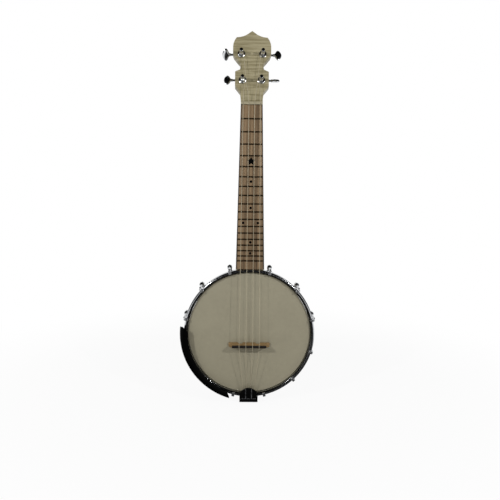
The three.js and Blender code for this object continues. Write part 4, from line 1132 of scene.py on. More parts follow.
class BANJO_OT_shoes(bpy.types.Operator):
    """Cast one bracket shoe, bolt it through the rim and set twelve of them"""
    bl_idname = "banjo.shoes"
    bl_label = "Bracket shoes"

    def execute(self, context):
        hooks, fit = sizes_of("hooks", "fit")
        middle = HOOP_HIGH.z - hooks.behind_hoop
        shoe, bolt = self.shoe(hooks, fit, middle), self.bolt(fit, middle)
        set_round((shoe, "shoe_cast", look(chrome), "chrome", "bracket_shoe"),
                  (bolt, "shoe_bolt", look(steel), "steel"))
        return {"FINISHED"}

    def shoe(self, hooks, fit, middle):
        """A pad on the rim, the arm that stands on it and the drilled ball at its end."""
        circle, half, hole = hook_circle(hooks), hooks.ball_half, hooks.rod / 2 + fit.seat
        lip = hole + hooks.ball_lip
        ball = turned("ball", [
            (hole, middle - half), (lip, middle - half),
            *arc((0, middle), hooks.ball_radius, -52, 52, 12),
            (lip, middle + half), (hole, middle + half)], 28, closed=True)
        place(ball, at(0, circle, 0))
        back, long = RIM_HIGH.x + fit.seat, hooks.pad_length / 2
        front = back + hooks.pad_thickness
        pad = side("pad", rectangle(back, middle - long, front, middle + long),
                   2 * hooks.pad_half)
        with editing(pad) as mesh:
            choose(mesh, mesh.edges, lambda edge: abs(
                (edge.verts[0].co - edge.verts[1].co).normalized().y) > 0.9)
            bpy.ops.mesh.bevel(offset=hooks.pad_corner, segments=6)
            bpy.ops.mesh.select_mode(type="FACE")
            mesh = bmesh.from_edit_mesh(pad.data)
            choose(mesh, mesh.faces, lambda face: face.normal.y > 0.9)
            bpy.ops.mesh.bevel(offset=hooks.pad_round, segments=4)
        reach, foot, wide = circle - lip, front - hooks.arm_sink, hooks.arm_length
        slope = foot + hooks.arm_flare
        arm = side("arm", [
            (foot, middle - wide / 2), (slope, middle - wide * 0.32), (reach, middle - half / 2),
            (reach, middle + half / 2), (slope, middle + wide * 0.32), (foot, middle + wide / 2)],
            2 * hooks.arm_half)
        return combine(pad, bevel(arm, hooks.arm_round, 3), ball)

    def bolt(self, fit, middle):
        """The bolt's end, its nut and its washer inside the rim."""
        pot, bolt = sizes_of("pot", "bolt")
        inside = RIM_HIGH.x - pot.wall
        washer = turned("washer", rectangle(bolt.hole, inside - bolt.washer_back, bolt.washer,
                                            inside - fit.seat), 28, closed=True)
        nut = hexagon("bolt_nut", bolt.nut, inside - bolt.nut_back, inside - bolt.nut_front)
        stem = threaded("bolt", bolt.radius, inside - bolt.end, inside + bolt.depth)
        bolted = combine(washer, bevel(nut, fit.nut_round), stem)
        return place(bolted, at(0, 0, middle, -90))


# Rod, tailpiece and armrest

class BANJO_OT_rod(bpy.types.Operator):
    """Turn the coordinator rod with its studs and nuts"""
    bl_idname = "banjo.rod"
    bl_label = "Coordinator rod"

    def execute(self, context):
        pot, tail, fit = sizes_of("pot", "tail", "fit")
        corner, edge, seated = tail.rod_nut / math.sqrt(3), tail.rod_edge, RIM_HIGH.x
        wall = math.sqrt((seated - pot.wall) ** 2 - corner ** 2) - fit.seat
        low, high = ROD_LOW.y - POT_Y, ROD_HIGH.y - POT_Y
        rod = turned("rod_bar", [
            (0, -seated), (tail.stud, -seated), (tail.stud, -wall), (tail.rod - edge, -wall),
            (tail.rod, -wall + edge), (tail.rod, wall - edge), (tail.rod - edge, wall),
            (tail.stud, wall), (tail.stud, high), (0, high)], 40)
        stud = threaded("stud", tail.stud, low, -seated + fit.lap)
        nuts = [hexagon("rod_nut", tail.rod_nut, start, start + tail.rod_nut_length)
                for start in (-wall, wall - tail.rod_nut_length)]
        whole = combine(rod, stud, *(bevel(nut, fit.nut_round) for nut in nuts))
        across, material = POT @ at(0, 0, ROD_Z, -90), look(steel)
        install(place(whole, across), material, "steel", "coordinator_rod")
        nut_low, nut_high = front_box("tail_nut")
        nut = hexagon("tail_nut_steel", tail.tail_nut, nut_low.y - POT_Y, nut_high.y - POT_Y)
        carve(nut, cylinder("bore", tail.stud + fit.seat, -FAR, 0, 24))
        install(place(bevel(nut, fit.nut_round), across), material, "steel", "tail_nut")
        return {"FINISHED"}


class BANJO_OT_tailpiece(bpy.types.Operator):
    """Press the cover tailpiece with its ribs and anchor bar, and bend its hanger"""
    bl_idname = "banjo.tailpiece"
    bl_label = "Tailpiece"

    def execute(self, context):
        self.cover(*sizes_of("tail", "strings"))
        self.hanger(*sizes_of("tail", "fit"))
        return {"FINISHED"}

    def section(self, tail, foot, lift=0):
        """The cover's side view, lifted for a rib."""
        back = HOOP_HIGH.z + tail.above_hoop
        front, bend, inner = back + tail.sheet, tail.bend, -(foot - tail.sheet)
        low = front - tail.skirt
        return [(-TIP, back), (-TIP, front + lift),
                *arc((-(foot - bend), front - bend), bend + lift, 90, 180, 10),
                (-(foot + lift), low), (inner, low), (inner, back)]

    def pressed(self, name, tail, foot, end, width, lift=0, inset=0):
        """The section at a width, trimmed to the cover's arch and to an end."""
        half, top, arch_half = tail.half - inset, -TIP - inset, tail.arch_half - inset
        corner = (arch_half, -(TIP + tail.arch_rise) - inset)
        sheet = side(name, self.section(tail, foot, lift), width)
        return sheet, [(half, end), (half, -hoop_inside()), corner,
                       *curve(corner, (arch_half / 2, top), (0, top), 8)]

    def cover(self, tail, strings):
        foot = HOOP_HIGH.x + tail.overhang
        back = HOOP_HIGH.z + tail.above_hoop
        front, step_y = back + tail.sheet, tail.step_rise - foot
        sheet, arch = self.pressed("cover_sheet", tail, foot, -(foot + PAST),
                                   2 * tail.half + PAST)
        carve(sheet, flat("mask", both_sides(arch), 0, FAR), operation="INTERSECT")
        bevel(sheet, tail.cover_round, 3, 40)
        end = -(TIP + tail.anchor_setback)
        anchor = side("anchor", rectangle(end, back - tail.anchor_height,
                                          end - tail.anchor_thickness, back + tail.sheet / 2),
                      strings.at_tail + 2 * strings.diameter)
        cover = combine(sheet, bevel(anchor, tail.strap_round, 3))
        install(place(cover, POT), look(lacquer), "black_metal", "tailpiece")
        ribs = []
        for x in (-tail.rib_offset, tail.rib_offset):
            rib, arch = self.pressed("rib", tail, foot, step_y, 2 * tail.rib_half,
                                     tail.rib_height, tail.rib_inset)
            carve(place(rib, at(x, 0, 0)), flat("mask", both_sides(arch), 0, FAR),
                  operation="INTERSECT")
            ribs.append(bevel(rib, tail.rib_round, 3, 40))
        step = side("step", rectangle(step_y, front - tail.step_sink, step_y - tail.step_width,
                                      front + tail.step_height), 2 * tail.arch_half)
        radius, sink, height = tail.boss, tail.step_sink, tail.boss_height
        boss = turned("boss", [(0, -sink), (radius, -sink), (radius, height / 2),
                               (radius * 0.75, height * 0.9), (0, height)], 20)
        place(boss, at(0, -foot, front - tail.skirt * 0.45, 90))
        # The ribs, the step and the boss, whose grey is a painted highlight
        worn = combine(*ribs, bevel(step, tail.step_round), boss, name="cover_ribs")
        install(place(worn, POT), look(worn_metal, name="worn"), "black_metal")

    def hanger(self, tail, fit):
        low, high = front_box("tailpiece_hanger")
        sheet, back = tail.hanger_sheet, RIM_HIGH.x + fit.seat
        upper_front, knee_top = POT_Y - low.y, HOOP_LOW.z - fit.seat
        upper_back, knee_low = upper_front - sheet, knee_top - tail.knee_drop
        front = back + sheet
        strap = side("hanger_strap", [
            (-back, low.z), (-front, low.z), (-front, knee_low - sheet / 2),
            (-upper_front, knee_top - sheet / 2), (-upper_front, high.z), (-upper_back, high.z),
            (-upper_back, knee_top), (-back, knee_low)], 2 * tail.hanger_half)
        bore = cylinder("bore", tail.stud + fit.seat, 0, FAR, 24)
        bevel(carve(strap, place(bore, at(0, 0, ROD_Z, 90))), tail.strap_round, 3)
        install(place(strap, POT), look(lacquer), "black_metal", "tailpiece_hanger")


class BANJO_OT_armrest(bpy.types.Operator):
    """Sweep the armrest over the hoop and bend its two clamps"""
    bl_idname = "banjo.armrest"
    bl_label = "Armrest"

    def execute(self, context):
        arm, hooks, fit = sizes_of("armrest", "hooks", "fit")
        under = HOOP_HIGH.z + fit.seat + hooks.claw_thickness + arm.above_claw
        inner = hoop_inside() - arm.inset
        outer = HOOP_HIGH.x + 2 * fit.seat + 3 * arm.clamp_sheet + arm.sheet
        rings = [[self.swept(arm, point, k / arm.steps, under, inner, outer)
                  for point in self.section(arm, inner, outer, under)]
                 for k in range(arm.steps + 1)]
        rest = bevel(lofted("armrest_moulding", rings), arm.round, 3, 55)
        install(place(rest, POT), look(shell), "black_shell", "armrest", smooth=50)
        angles = hook_angles()
        step = angles[1] - angles[0]
        for name, turn in (("upper", angles[2] + step / 2), ("lower", angles[4] + step / 2)):
            self.clamp(arm, fit.seat, name, -turn, under, inner, outer)
        return {"FINISHED"}

    def swept(self, arm, point, along, under, inner, outer):
        """A point of the section at its share of the way round. The ends lean and draw back,
        and the band narrows."""
        radius, height = point
        inward = (outer - radius) / (outer - inner)
        deep = arm.curl_setback * max(0, (under - height) / arm.curl)
        start = arm.start + arm.start_slant * inward ** arm.start_bow + deep
        end = arm.end - arm.end_slant * inward ** 2 - deep
        turn = start + (end - start) * along
        reach = radius + arm.taper * inward * along ** 2
        return -reach * math.sin(turn), reach * math.cos(turn), height

    def section(self, arm, inner, outer, under):
        """The band's outline as radius and height, rounded by cutting its corners twice."""
        crown, sheet, curl = inner + (outer - inner) / 2, arm.sheet, arm.curl
        top = under + sheet
        points = [
            (inner, top - sheet / 2), (inner + sheet / 2, top),
            (crown, under + arm.crown + sheet / 2), (outer - sheet, top),
            (outer, under - curl / 3), (outer, under - curl), (outer - sheet, under - curl),
            (outer - sheet, under - curl / 3), (outer - 2 * sheet, under),
            (crown, under + arm.crown - sheet / 2), (inner + sheet / 2, under)]
        for _ in range(2):
            following = [*points[1:], points[0]]
            points = [tuple(a + (b - a) * share for a, b in zip(here, there))
                      for here, there in zip(points, following)
                      for share in (arm.cut, 1 - arm.cut)]
        return points

    def clamp(self, arm, seat, name, turn, under, inner, outer):
        """A strap bent over the hoop, its top seated under the armrest's crown."""
        sheet, edge = arm.clamp_sheet, outer - 2 * arm.sheet
        back, pad = HOOP_HIGH.x + seat + sheet, RIM_HIGH.x + seat
        slope = (arm.crown - arm.sheet / 2) / (edge - (inner + outer) / 2)
        top, foot = under + slope * (edge - back) - seat, HOOP_LOW.z - arm.clamp_foot
        knee, middle = HOOP_LOW.z - arm.knee_drop, (HOOP_HIGH.x + inner + arm.inset) / 2
        strap = side(f"clamp_{name}", [
            (middle, top), (back, top), (back, HOOP_LOW.z - sheet), (pad + sheet, knee),
            (pad + sheet, foot), (pad, foot), (pad, knee + sheet / 2),
            (back - sheet, HOOP_LOW.z - sheet / 2), (back - sheet, top - sheet),
            (middle, top - sheet)], 2 * arm.clamp_half)
        bolt = screw(f"clamp_screw_{name}", arm.screw, arm.screw / 2, arm.screw + arm.sheet / 10)
        place(bolt, at(0, pad + sheet, foot + arm.clamp_half, -90))
        material = look(steel)
        install(place(bevel(strap, arm.strap_round, 3), around_pot(turn)), material, "steel",
                f"armrest_clamp_{name}")
        install(place(bolt, around_pot(turn)), material, "steel")


def screw(name, radius, height, shank):
    """A slotted round-head screw that stands on z = 0 and goes back from it."""
    seat = -0.0001
    profile = [(0.45, -shank), (0.5, seat), (1, seat), (1, height * 0.3), (0.88, height * 0.66),
               (0.6, height * 0.9), (0.3, height)]
    head = turned(name, [(0, -shank), *((radius * share, z) for share, z in profile),
                         (0, height)], 28)
    slot = side("slot", rectangle(-radius - PAST, height * 0.45, radius + PAST, height + PAST),
                radius * 0.32)
    return carve(head, slot)


# Neck, fingerboard, nut and bridge

# Half the outline of the headstock in millimetres from the nut. A pair of points is a curve's
# control and its end.
HEADSTOCK_HALF = [
    [(17.1, -1.5)], [(17.1, 5)], [(17.1, 12), (18.6, 22)], [(26.7, 32.5)], [(26.7, 56)], [(20, 59)],
    [(18.3, 59), (18.3, 65.5)], [(18.3, 70.9), (20.5, 72)], [(28.8, 82.6)], [(30.4, 86.5)],
    [(30.4, 98)], [(30.4, 106), (24.6, 114)], [(16.5, 114), (8.4, 118.6)], [(0, 125)]]


def board_top():
    board, = sizes_of("board")
    return BOARD_HIGH.z - board.fret_height


def headstock():
    """The headstock's face, with y up along it from the nut and z out of it."""
    neck, = sizes_of("neck")
    return (STAND @ at(0, NUT_Y, board_top() - neck.headstock_drop)
            @ Matrix.Rotation(-HEADSTOCK_TILT, 4, "X"))


def joint_place(name):
    """Where a joint sits on the headstock's face."""
    return headstock().inverted() @ Vector(JOINTS[name]["pos_m"])


def post_place(number):
    return joint_place(f"post_{number}_turn")


def board_half(board, y):
    share = (NUT_Y - y) / (NUT_Y - BOARD_LOW.y)
    return board.half_at_nut + (board.half_at_end - board.half_at_nut) * share


def fret_y(board, number):
    return NUT_Y - board.scale * (1 - 2 ** (-number / 12))


def across_span(span, i):
    """The place of string i across a span, the outer strings at its ends."""
    return span * (i / 3 - 0.5)


def held(share):
    return min(1, max(0, share))


class BANJO_OT_neck(bpy.types.Operator):
    """Carve the neck with its heel and join it to the sawn headstock"""
    bl_idname = "banjo.neck"
    bl_label = "Neck"

    def execute(self, context):
        neck, board, pot, tail, fit = sizes_of("neck", "board", "pot", "tail", "fit")
        top, end = board_top() - board.thickness - fit.seat, NUT_HIGH.y
        heel_start = POT_Y + RIM_HIGH.x + neck.heel_length
        stations = [
            POT_Y + RIM_HIGH.x - pot.wall,
            *(heel_start - neck.heel_length * (1 - k / 26) for k in range(27)),
            *(heel_start + (NUT_Y - neck.collar - heel_start) * k / 8 for k in range(1, 9)),
            *(NUT_Y - neck.collar * (1 - k / 10) for k in range(1, 11)), end]
        stem = lofted("neck_wood", [self.ring(neck, board, y, top, heel_start)
                                    for y in stations])
        slab = place(self.slab(neck, fit.seat), STAND.inverted() @ headstock())
        carve(stem, slab, operation="UNION")
        rim = cylinder("pot", RIM_HIGH.x + fit.seat, -PAST, FAR, fit.steps)
        hoop = cylinder("hoop", BOARD_LOW.y - POT_Y, HOOP_LOW.z - neck.hoop_gap, FAR, fit.steps)
        for cut in (rim, hoop):
            place(cut, at(0, POT_Y, 0))
        wide = board.half_at_end + PAST
        bed = flat("bed", rectangle(-wide, POT_Y, wide, end + fit.seat), top, FAR)
        depth = RIM_HIGH.x + neck.heel_bite + neck.bore_end
        stud = cylinder("stud", tail.stud + fit.seat, 0, depth, 24)
        place(stud, at(0, POT_Y, ROD_Z, -90))
        bevel(carve(stem, rim, hoop, bed, stud), neck.round, 2, 55)
        install(place(stem, STAND), look(maple, "neck", name="neck_maple"), "maple", "neck")
        return {"FINISHED"}

    def ring(self, neck, board, y, top, heel_start):
        """The neck's section at y, from the flat top round the back."""
        half = board_half(board, max(BOARD_LOW.y, min(y, NUT_Y)))
        run = held((heel_start - y) / neck.heel_length)
        stem = held((NUT_Y - y) / (NUT_Y - heel_start))
        collar = held((y - NUT_Y + neck.collar) / neck.collar)
        slim = neck.depth_at_nut + (neck.depth_at_heel - neck.depth_at_nut) * stem
        full = top - neck.heel_above_back
        heel = (run ** neck.heel_bow + 1 - math.sqrt(1 - run ** 2)) / 2
        depth = slim + (full - slim) * heel
        power = neck.fullness + neck.heel_fullness * run + neck.collar_fullness * collar ** 2
        ring = []
        for turn in (math.pi * i / neck.steps for i in range(neck.steps + 1)):
            across = math.copysign(abs(math.cos(turn)) ** (2 / power), math.cos(turn))
            down = abs(math.sin(turn)) ** (2 / power)
            pinch = 1 - neck.heel_pinch * heel * down
            ring.append((half * across * pinch, y, top - depth * down))
        return ring

    def slab(self, neck, seat):
        tuners, = sizes_of("tuners")
        right = []
        for part in HEADSTOCK_HALF:
            points = [(x / 1000, y / 1000) for x, y in part]
            right += points if len(points) == 1 else curve(right[-1], *points, 10)
        slab = flat("slab", both_sides(right), -neck.headstock_depth, 0)
        radius = tuners.post + tuners.bushing_wall + 2 * seat
        for number in BUTTON_TURNS:
            x, y, _ = post_place(number)
            hole = cylinder("hole", radius, -neck.headstock_depth - PAST, PAST, 32)
            carve(slab, place(hole, at(x, y, 0)))
        return bevel(slab, neck.headstock_round, 3, 60)


class BANJO_OT_board(bpy.types.Operator):
    """Plane the fingerboard and fit its edge strips, frets, star and dots"""
    bl_idname = "banjo.board"
    bl_label = "Fingerboard"

    def execute(self, context):
        board, = sizes_of("board")
        top, end, edge = board_top(), BOARD_LOW.y, board.edge
        back, at_end, at_nut = top - board.thickness, board.half_at_end, board.half_at_nut
        wood = flat("board_wood", [(-at_end + edge, end), (at_end - edge, end),
                                   (at_nut - edge, NUT_Y), (-at_nut + edge, NUT_Y)], back, top)
        install(place(bevel(wood, board.round), STAND), look(board_wood, name="board"),
                "board_wood", "fingerboard")
        strips = [flat("strip", [(way * (at_end - edge), end), (way * at_end, end),
                                 (way * at_nut, NUT_Y), (way * (at_nut - edge), NUT_Y)],
                       back, top) for way in (-1, 1)]
        edges = combine(*(bevel(strip, board.edge_round) for strip in strips), name="board_edges")
        install(place(edges, STAND), look(ebony, name="edge"), "ebony")
        self.frets(board, top)
        self.inlays(board, top)
        return {"FINISHED"}

    def frets(self, board, top):
        frets, half, low = [], board.fret_width / 2, top - board.fret_sunk
        while (y := fret_y(board, len(frets) + 1)) > BOARD_LOW.y + board.last_fret:
            crown = ((y + half * math.cos(turn), top + board.fret_height * math.sin(turn))
                     for turn in (math.pi * i / 10 for i in range(11)))
            fret = side("fret", [(y - half, low), (y + half, low), *crown],
                        2 * (board_half(board, y) - board.fret_inset))
            frets.append(bevel(fret, board.fret_round, 2, 60))
        wires = combine(*frets, name="fret_wires")
        install(place(wires, STAND), look(nickel), "steel")

    def inlays(self, board, top):
        rise, radius = board.inlay_rise, board.dot
        sunk, proud = top - board.inlay_depth, top + rise

        def between(number):
            return (fret_y(board, number - 1) + fret_y(board, number)) / 2

        tips = []
        for i in range(10):
            reach, turn = board.star * (board.star_waist if i % 2 else 1), math.radians(90 + 36 * i)
            tips.append((reach * math.cos(turn), between(5) + reach * math.sin(turn)))
        pieces = [flat("star", tips, sunk, proud)]
        for number, x in ((7, 0), (10, 0), (15, 0), (17, 0), (12, -board.dot_pair),
                          (12, board.dot_pair)):
            dot = turned("dot", [(0, sunk), (radius, sunk), (radius, proud - rise),
                                 (radius - 2 * rise, proud), (0, proud)], 28)
            pieces.append(place(dot, at(x, between(number), 0)))
        inlays = combine(*pieces, name="board_inlays")
        install(place(inlays, STAND), look(shell), "black_shell")


def string_groove(top, depth, run):
    board, = sizes_of("board")
    half = board.slot_width / 2
    round_end = arc((0, top - depth + half), half, 0, -180, 8)
    return upright("groove", [(half, top + PAST), *round_end, (-half, top + PAST)], run)


class BANJO_OT_nut(bpy.types.Operator):
    """Shape the bone nut and cut its four slots"""
    bl_idname = "banjo.nut"
    bl_label = "Nut"

    def execute(self, context):
        board, strings = sizes_of("board", "strings")
        low, high, top, crest = NUT_LOW.y, NUT_HIGH.y, NUT_HIGH.z, board_top()
        block = side("nut_bone", [
            (low, NUT_LOW.z), (high, NUT_LOW.z),
            *((low + (high - low) * math.sin(turn), crest + (top - crest) * math.cos(turn))
              for turn in (math.pi / 2 * (1 - i / 8) for i in range(9)))], 2 * board.half_at_nut)
        for i in range(4):
            groove = string_groove(top, board.slot_depth, high - low + PAST)
            carve(block, place(groove, at(across_span(strings.at_nut, i), (low + high) / 2, 0)))
        bevel(block, board.nut_round, 2, 50)
        install(place(block, STAND), look(bone), "bone", "nut")
        return {"FINISHED"}


class BANJO_OT_bridge(bpy.types.Operator):
    """Saw the maple bridge on its three feet and glue on the notched ebony cap"""
    bl_idname = "banjo.bridge"
    bl_label = "Bridge"

    def execute(self, context):
        bridge, strings, fit = sizes_of("bridge", "strings", "fit")
        back, top = HEAD_HIGH.z + fit.seat, HEAD_HIGH.z + bridge.height
        saddle, y = top - bridge.cap_height, NUT_Y - bridge.below_nut
        height, tip = saddle - fit.seat - back, bridge.foot_rise
        foot, cap, middle = bridge.foot_half, bridge.cap_half, bridge.middle_length / 2
        inner = foot - bridge.foot_length
        arch = ((inner + middle) / 2, 2 * bridge.arch_rise)
        right = [(middle, 0), *curve((middle, 0), arch, (inner, 0), 16), (foot, 0), (foot, tip),
                 *curve((foot, tip), (cap, tip), (cap, height), 16)]
        base = upright("bridge_wood", both_sides(right), 2 * bridge.foot_thickness)
        thick, thin = bridge.foot_thickness / 2, bridge.top_thickness / 2
        over = height + PAST
        wedge = side("wedge", [(-thick, -PAST), (thick, -PAST), (thick, tip), (thin, height),
                               (thin, over), (-thin, over), (-thin, height), (-thick, tip)],
                     2 * foot + PAST)
        bevel(carve(base, wedge, operation="INTERSECT"), bridge.round, 2, 40)
        place(base, STAND @ at(0, y, back))
        install(base, look(bridge_wood, name="bridge_maple"), "bridge_maple", "bridge_base")
        flank, shoulder = saddle + bridge.cap_height / 2, top - bridge.cap_round
        ebony_cap = side("bridge_ebony", [
            (-thin, saddle), (thin, saddle), (thin, flank), (thin * 0.75, shoulder),
            (thin * 0.5, top), (-thin * 0.5, top), (-thin * 0.75, shoulder), (-thin, flank)],
            2 * cap)
        for i in range(4):
            notch = string_groove(top, bridge.notch, bridge.top_thickness + PAST)
            carve(ebony_cap, place(notch, at(across_span(strings.at_bridge, i), 0, 0)))
        bevel(ebony_cap, bridge.cap_round, 2, 40)
        install(place(ebony_cap, STAND @ at(0, y, 0)), look(ebony, name="edge"), "ebony",
                "bridge_cap")
        return {"FINISHED"}


# Strings and tuners

STRING_TUNERS = "2143"
# How far each tuner's button stands turned about its shaft, in degrees
BUTTON_TURNS = {"1": -45, "2": 17, "3": -60, "4": -13}


class BANJO_OT_strings(bpy.types.Operator):
    """Draw the strings from the anchor bar over bridge and nut, and wind them on their posts"""
    bl_idname = "banjo.strings"
    bl_label = "Strings"

    def execute(self, context):
        strings, = sizes_of("strings")
        for i in range(4):
            string = tube(f"string_line_{i + 1}", self.route(strings, i), strings.diameter / 2)
            install(place(string, STAND), look(nylon), "string_nylon", f"string_{i + 1}")
        return {"FINISHED"}

    def route(self, strings, i):
        board, bridge, tail, fit = sizes_of("board", "bridge", "tail", "fit")
        rest = strings.diameter / 2 + fit.seat
        end = Vector((across_span(strings.at_tail, i),
                      POT_Y - TIP - tail.anchor_setback + fit.seat,
                      HOOP_HIGH.z + tail.above_hoop - tail.anchor_height / 2))
        over_bridge = Vector((across_span(strings.at_bridge, i), NUT_Y - bridge.below_nut,
                              HEAD_HIGH.z + bridge.height - bridge.notch + rest))
        over_nut = Vector((across_span(strings.at_nut, i), (NUT_Y + NUT_HIGH.y) / 2,
                           board_top() + board.nut_rise - board.slot_depth + rest))
        winding = self.winding(strings, fit.seat, STRING_TUNERS[i])
        straight = end + Vector((0, strings.diameter, 0))
        return [end, straight, *self.bent(straight, over_bridge, over_nut, strings.bend),
                *self.bent(over_bridge, over_nut, winding[0], strings.bend), *winding]

    def bent(self, before, corner, after, bend):
        start = corner + (before - corner).normalized() * bend
        end = corner + (after - corner).normalized() * bend
        return [start, *(Vector(point) for point in curve(start, corner, end, 6))]

    def winding(self, strings, seat, number):
        """The loops round the post, then up and in to its hole."""
        tuners, = sizes_of("tuners")
        x, y, _ = post_place(number)
        face, way = STAND.inverted() @ headstock(), math.copysign(1, x)
        diameter, loops, low = strings.diameter, strings.loops, strings.loop_height
        waist, climb = tuners.post_waist + seat, diameter + strings.loop_gap
        radius, outside = waist + diameter / 2, waist + 2.2 * diameter
        wound = low + climb * loops
        top = max(tuners.hole_height, wound + climb)

        def spot(turns, out, z):
            turn = 2 * math.pi * turns
            return face @ Vector((x - way * out * math.cos(turn), y + out * math.sin(turn), z))

        steps = 24
        points = [spot(k / steps, radius, low + climb * k / steps)
                  for k in range(loops * steps + 1)]
        for share in (k / 8 for k in range(1, 9)):
            points.append(spot(loops + share * 0.25, radius + (outside - radius) * share,
                               wound + (top - wound) * share))
        return points + [spot(loops + strings.tuck, out, top)
                         for out in (outside - 0.25 * diameter, waist + diameter, waist)]


class BANJO_OT_tuners(bpy.types.Operator):
    """Make the plate, bushing, post and worm of each tuner"""
    bl_idname = "banjo.tuners"
    bl_label = "Tuners"

    def execute(self, context):
        tuners, neck, fit = sizes_of("tuners", "neck", "fit")
        self.face, seat = headstock(), fit.seat
        self.plate_back = -neck.headstock_depth - seat - tuners.plate
        self.pitch = tuners.module * tuners.teeth / 2
        self.over, self.under = 0.82 * tuners.module, 1.15 * tuners.module
        self.worm_y, self.worm_z = self.pitch + tuners.worm, joint_place("button_1_turn").z
        for number, turned_by in BUTTON_TURNS.items():
            spot = post_place(number)
            here = self.face @ at(spot.x, spot.y, 0)
            self.plate(tuners, seat, number, here)
            self.bushing(tuners, seat, number, here)
            self.post(tuners, seat, number, here)
            self.worm(tuners, seat, number, turned_by)
        return {"FINISHED"}

    def plate(self, tuners, seat, number, here):
        back, y, z, corner = self.plate_back, self.worm_y, self.worm_z, tuners.plate_corner
        half = tuners.worm_length / 2 + seat + tuners.plate + tuners.plate_margin
        low, high, ear_half = -tuners.plate_tail, y + tuners.plate_nose, tuners.ear_half
        right = [*arc((half - corner, low + corner), corner, -90, 0, 6),
                 *arc((half - corner, high - corner), corner, 0, 90, 6)]
        sheet = flat(f"plate_{number}", both_sides(right), back, back + tuners.plate)
        ear_x, ear_back = half - tuners.plate_margin - tuners.plate / 2, back + tuners.plate / 2
        for x in (-ear_x, ear_x):
            ear = side("ear", [
                (y - ear_half, ear_back), *arc((y, z), ear_half, 180, 360, 12),
                (y + ear_half, ear_back)], tuners.plate)
            carve(sheet, place(ear, at(x, 0, 0)), operation="UNION")
        bearing = cylinder("bearing", tuners.shaft + seat, -half - PAST, half + PAST)
        place(bearing, at(0, y, z, 90, "Y"))
        carve(sheet, bearing, cylinder("eye", tuners.post + seat, back - PAST, 0))
        bevel(sheet, tuners.plate_round, 2, 50)
        install(place(sheet, here), look(steel), "steel", f"tuner_plate_{number}")
        inset, screws = tuners.screw_inset, []
        for x in (inset - half, half - inset):
            for spot in (low + inset, high - inset):
                head = screw("plate_screw", tuners.screw, tuners.screw / 2, tuners.screw_shank)
                screws.append(place(head, at(x, spot, back, 180)))
        install(place(combine(*screws, name=f"plate_screws_{number}"), here), look(steel), "steel")

    def bushing(self, tuners, seat, number, here):
        inside, rise, edge = tuners.post + seat, seat + tuners.flange_rise, tuners.bushing_edge
        outside = inside + tuners.bushing_wall
        flange = outside + tuners.flange
        bushing = turned(f"bushing_{number}", [
            (inside, -tuners.bushing_depth), (outside, -tuners.bushing_depth), (outside, seat),
            (flange - edge, seat), (flange, seat + edge),
            *curve((flange, seat + tuners.flange_rise / 3), (flange - 1.5 * edge, rise - edge / 2),
                   (outside + edge, rise), 6),
            (inside + edge, rise), (inside, rise - edge)], 40, closed=True)
        install(place(bushing, here), look(chrome), "chrome", f"tuner_bushing_{number}")

    def gear(self, tuners):
        """A wheel whose teeth follow the worm's lead across its width."""
        tip, root = self.pitch + self.over, self.pitch - self.under
        flank, edge = root + (tip - root) * 0.5, tip - tuners.tooth_edge
        corners = [(root, -0.33), (flank, -0.25), (edge, -0.135), (tip, -0.1),
                   (tip, 0.1), (edge, 0.135), (flank, 0.25), (root, 0.33)]
        rings = []
        for k in range(5):
            z = tuners.gear_width * (k / 4 - 0.5)
            twist = z * tuners.module / (2 * tuners.worm) / self.pitch + math.pi / 2
            turns = [(radius, twist + (tooth + share) * 2 * math.pi / tuners.teeth)
                     for tooth in range(tuners.teeth) for radius, share in corners]
            rings.append([(radius * math.cos(turn), radius * math.sin(turn), self.worm_z + z)
                          for radius, turn in turns])
        return lofted("gear", rings)

    def post(self, tuners, seat, number, here):
        gear_back, boss_front = self.worm_z - tuners.gear_width / 2, self.plate_back - seat
        start, end, edge = tuners.flange_rise + 2 * seat, tuners.post_height, tuners.post_edge
        thick, base, waist, top = (tuners.post, tuners.post_base, tuners.post_waist,
                                   tuners.post_top)
        foot, throat = (base, start + tuners.post_step), (waist, tuners.hole_height + tuners.hole)
        stem = turned(f"post_{number}", [
            (0, gear_back - seat), (thick, gear_back - seat), (thick, self.worm_z),
            (tuners.gear_boss, self.worm_z), (tuners.gear_boss, boss_front), (thick, boss_front),
            (thick, start), (base, start), foot,
            *curve(foot, (waist, foot[1] + edge * 0.4), (waist, tuners.waist_low), 6), throat,
            *curve(throat, (waist + edge / 5, tuners.waist_high), (top, tuners.head_low), 5),
            (top, end - edge), *curve((top, end - edge), (top, end), (top - edge, end), 4),
            (0, end)], 36)
        hole = cylinder("hole", tuners.hole / 2, -PAST, PAST, 20)
        carve(stem, place(hole, at(0, 0, tuners.hole_height, 90, "Y")))
        gear = bevel(self.gear(tuners), tuners.tooth_edge, 1, 50)
        head = screw("gear_screw", tuners.gear_screw, tuners.gear_screw_height,
                     2 * tuners.gear_screw_height)
        whole = combine(stem, gear, place(head, at(0, 0, gear_back - seat, 180)))
        install(place(whole, here), look(chrome), "chrome", f"tuner_post_{number}",
                body=f"post_{number}")

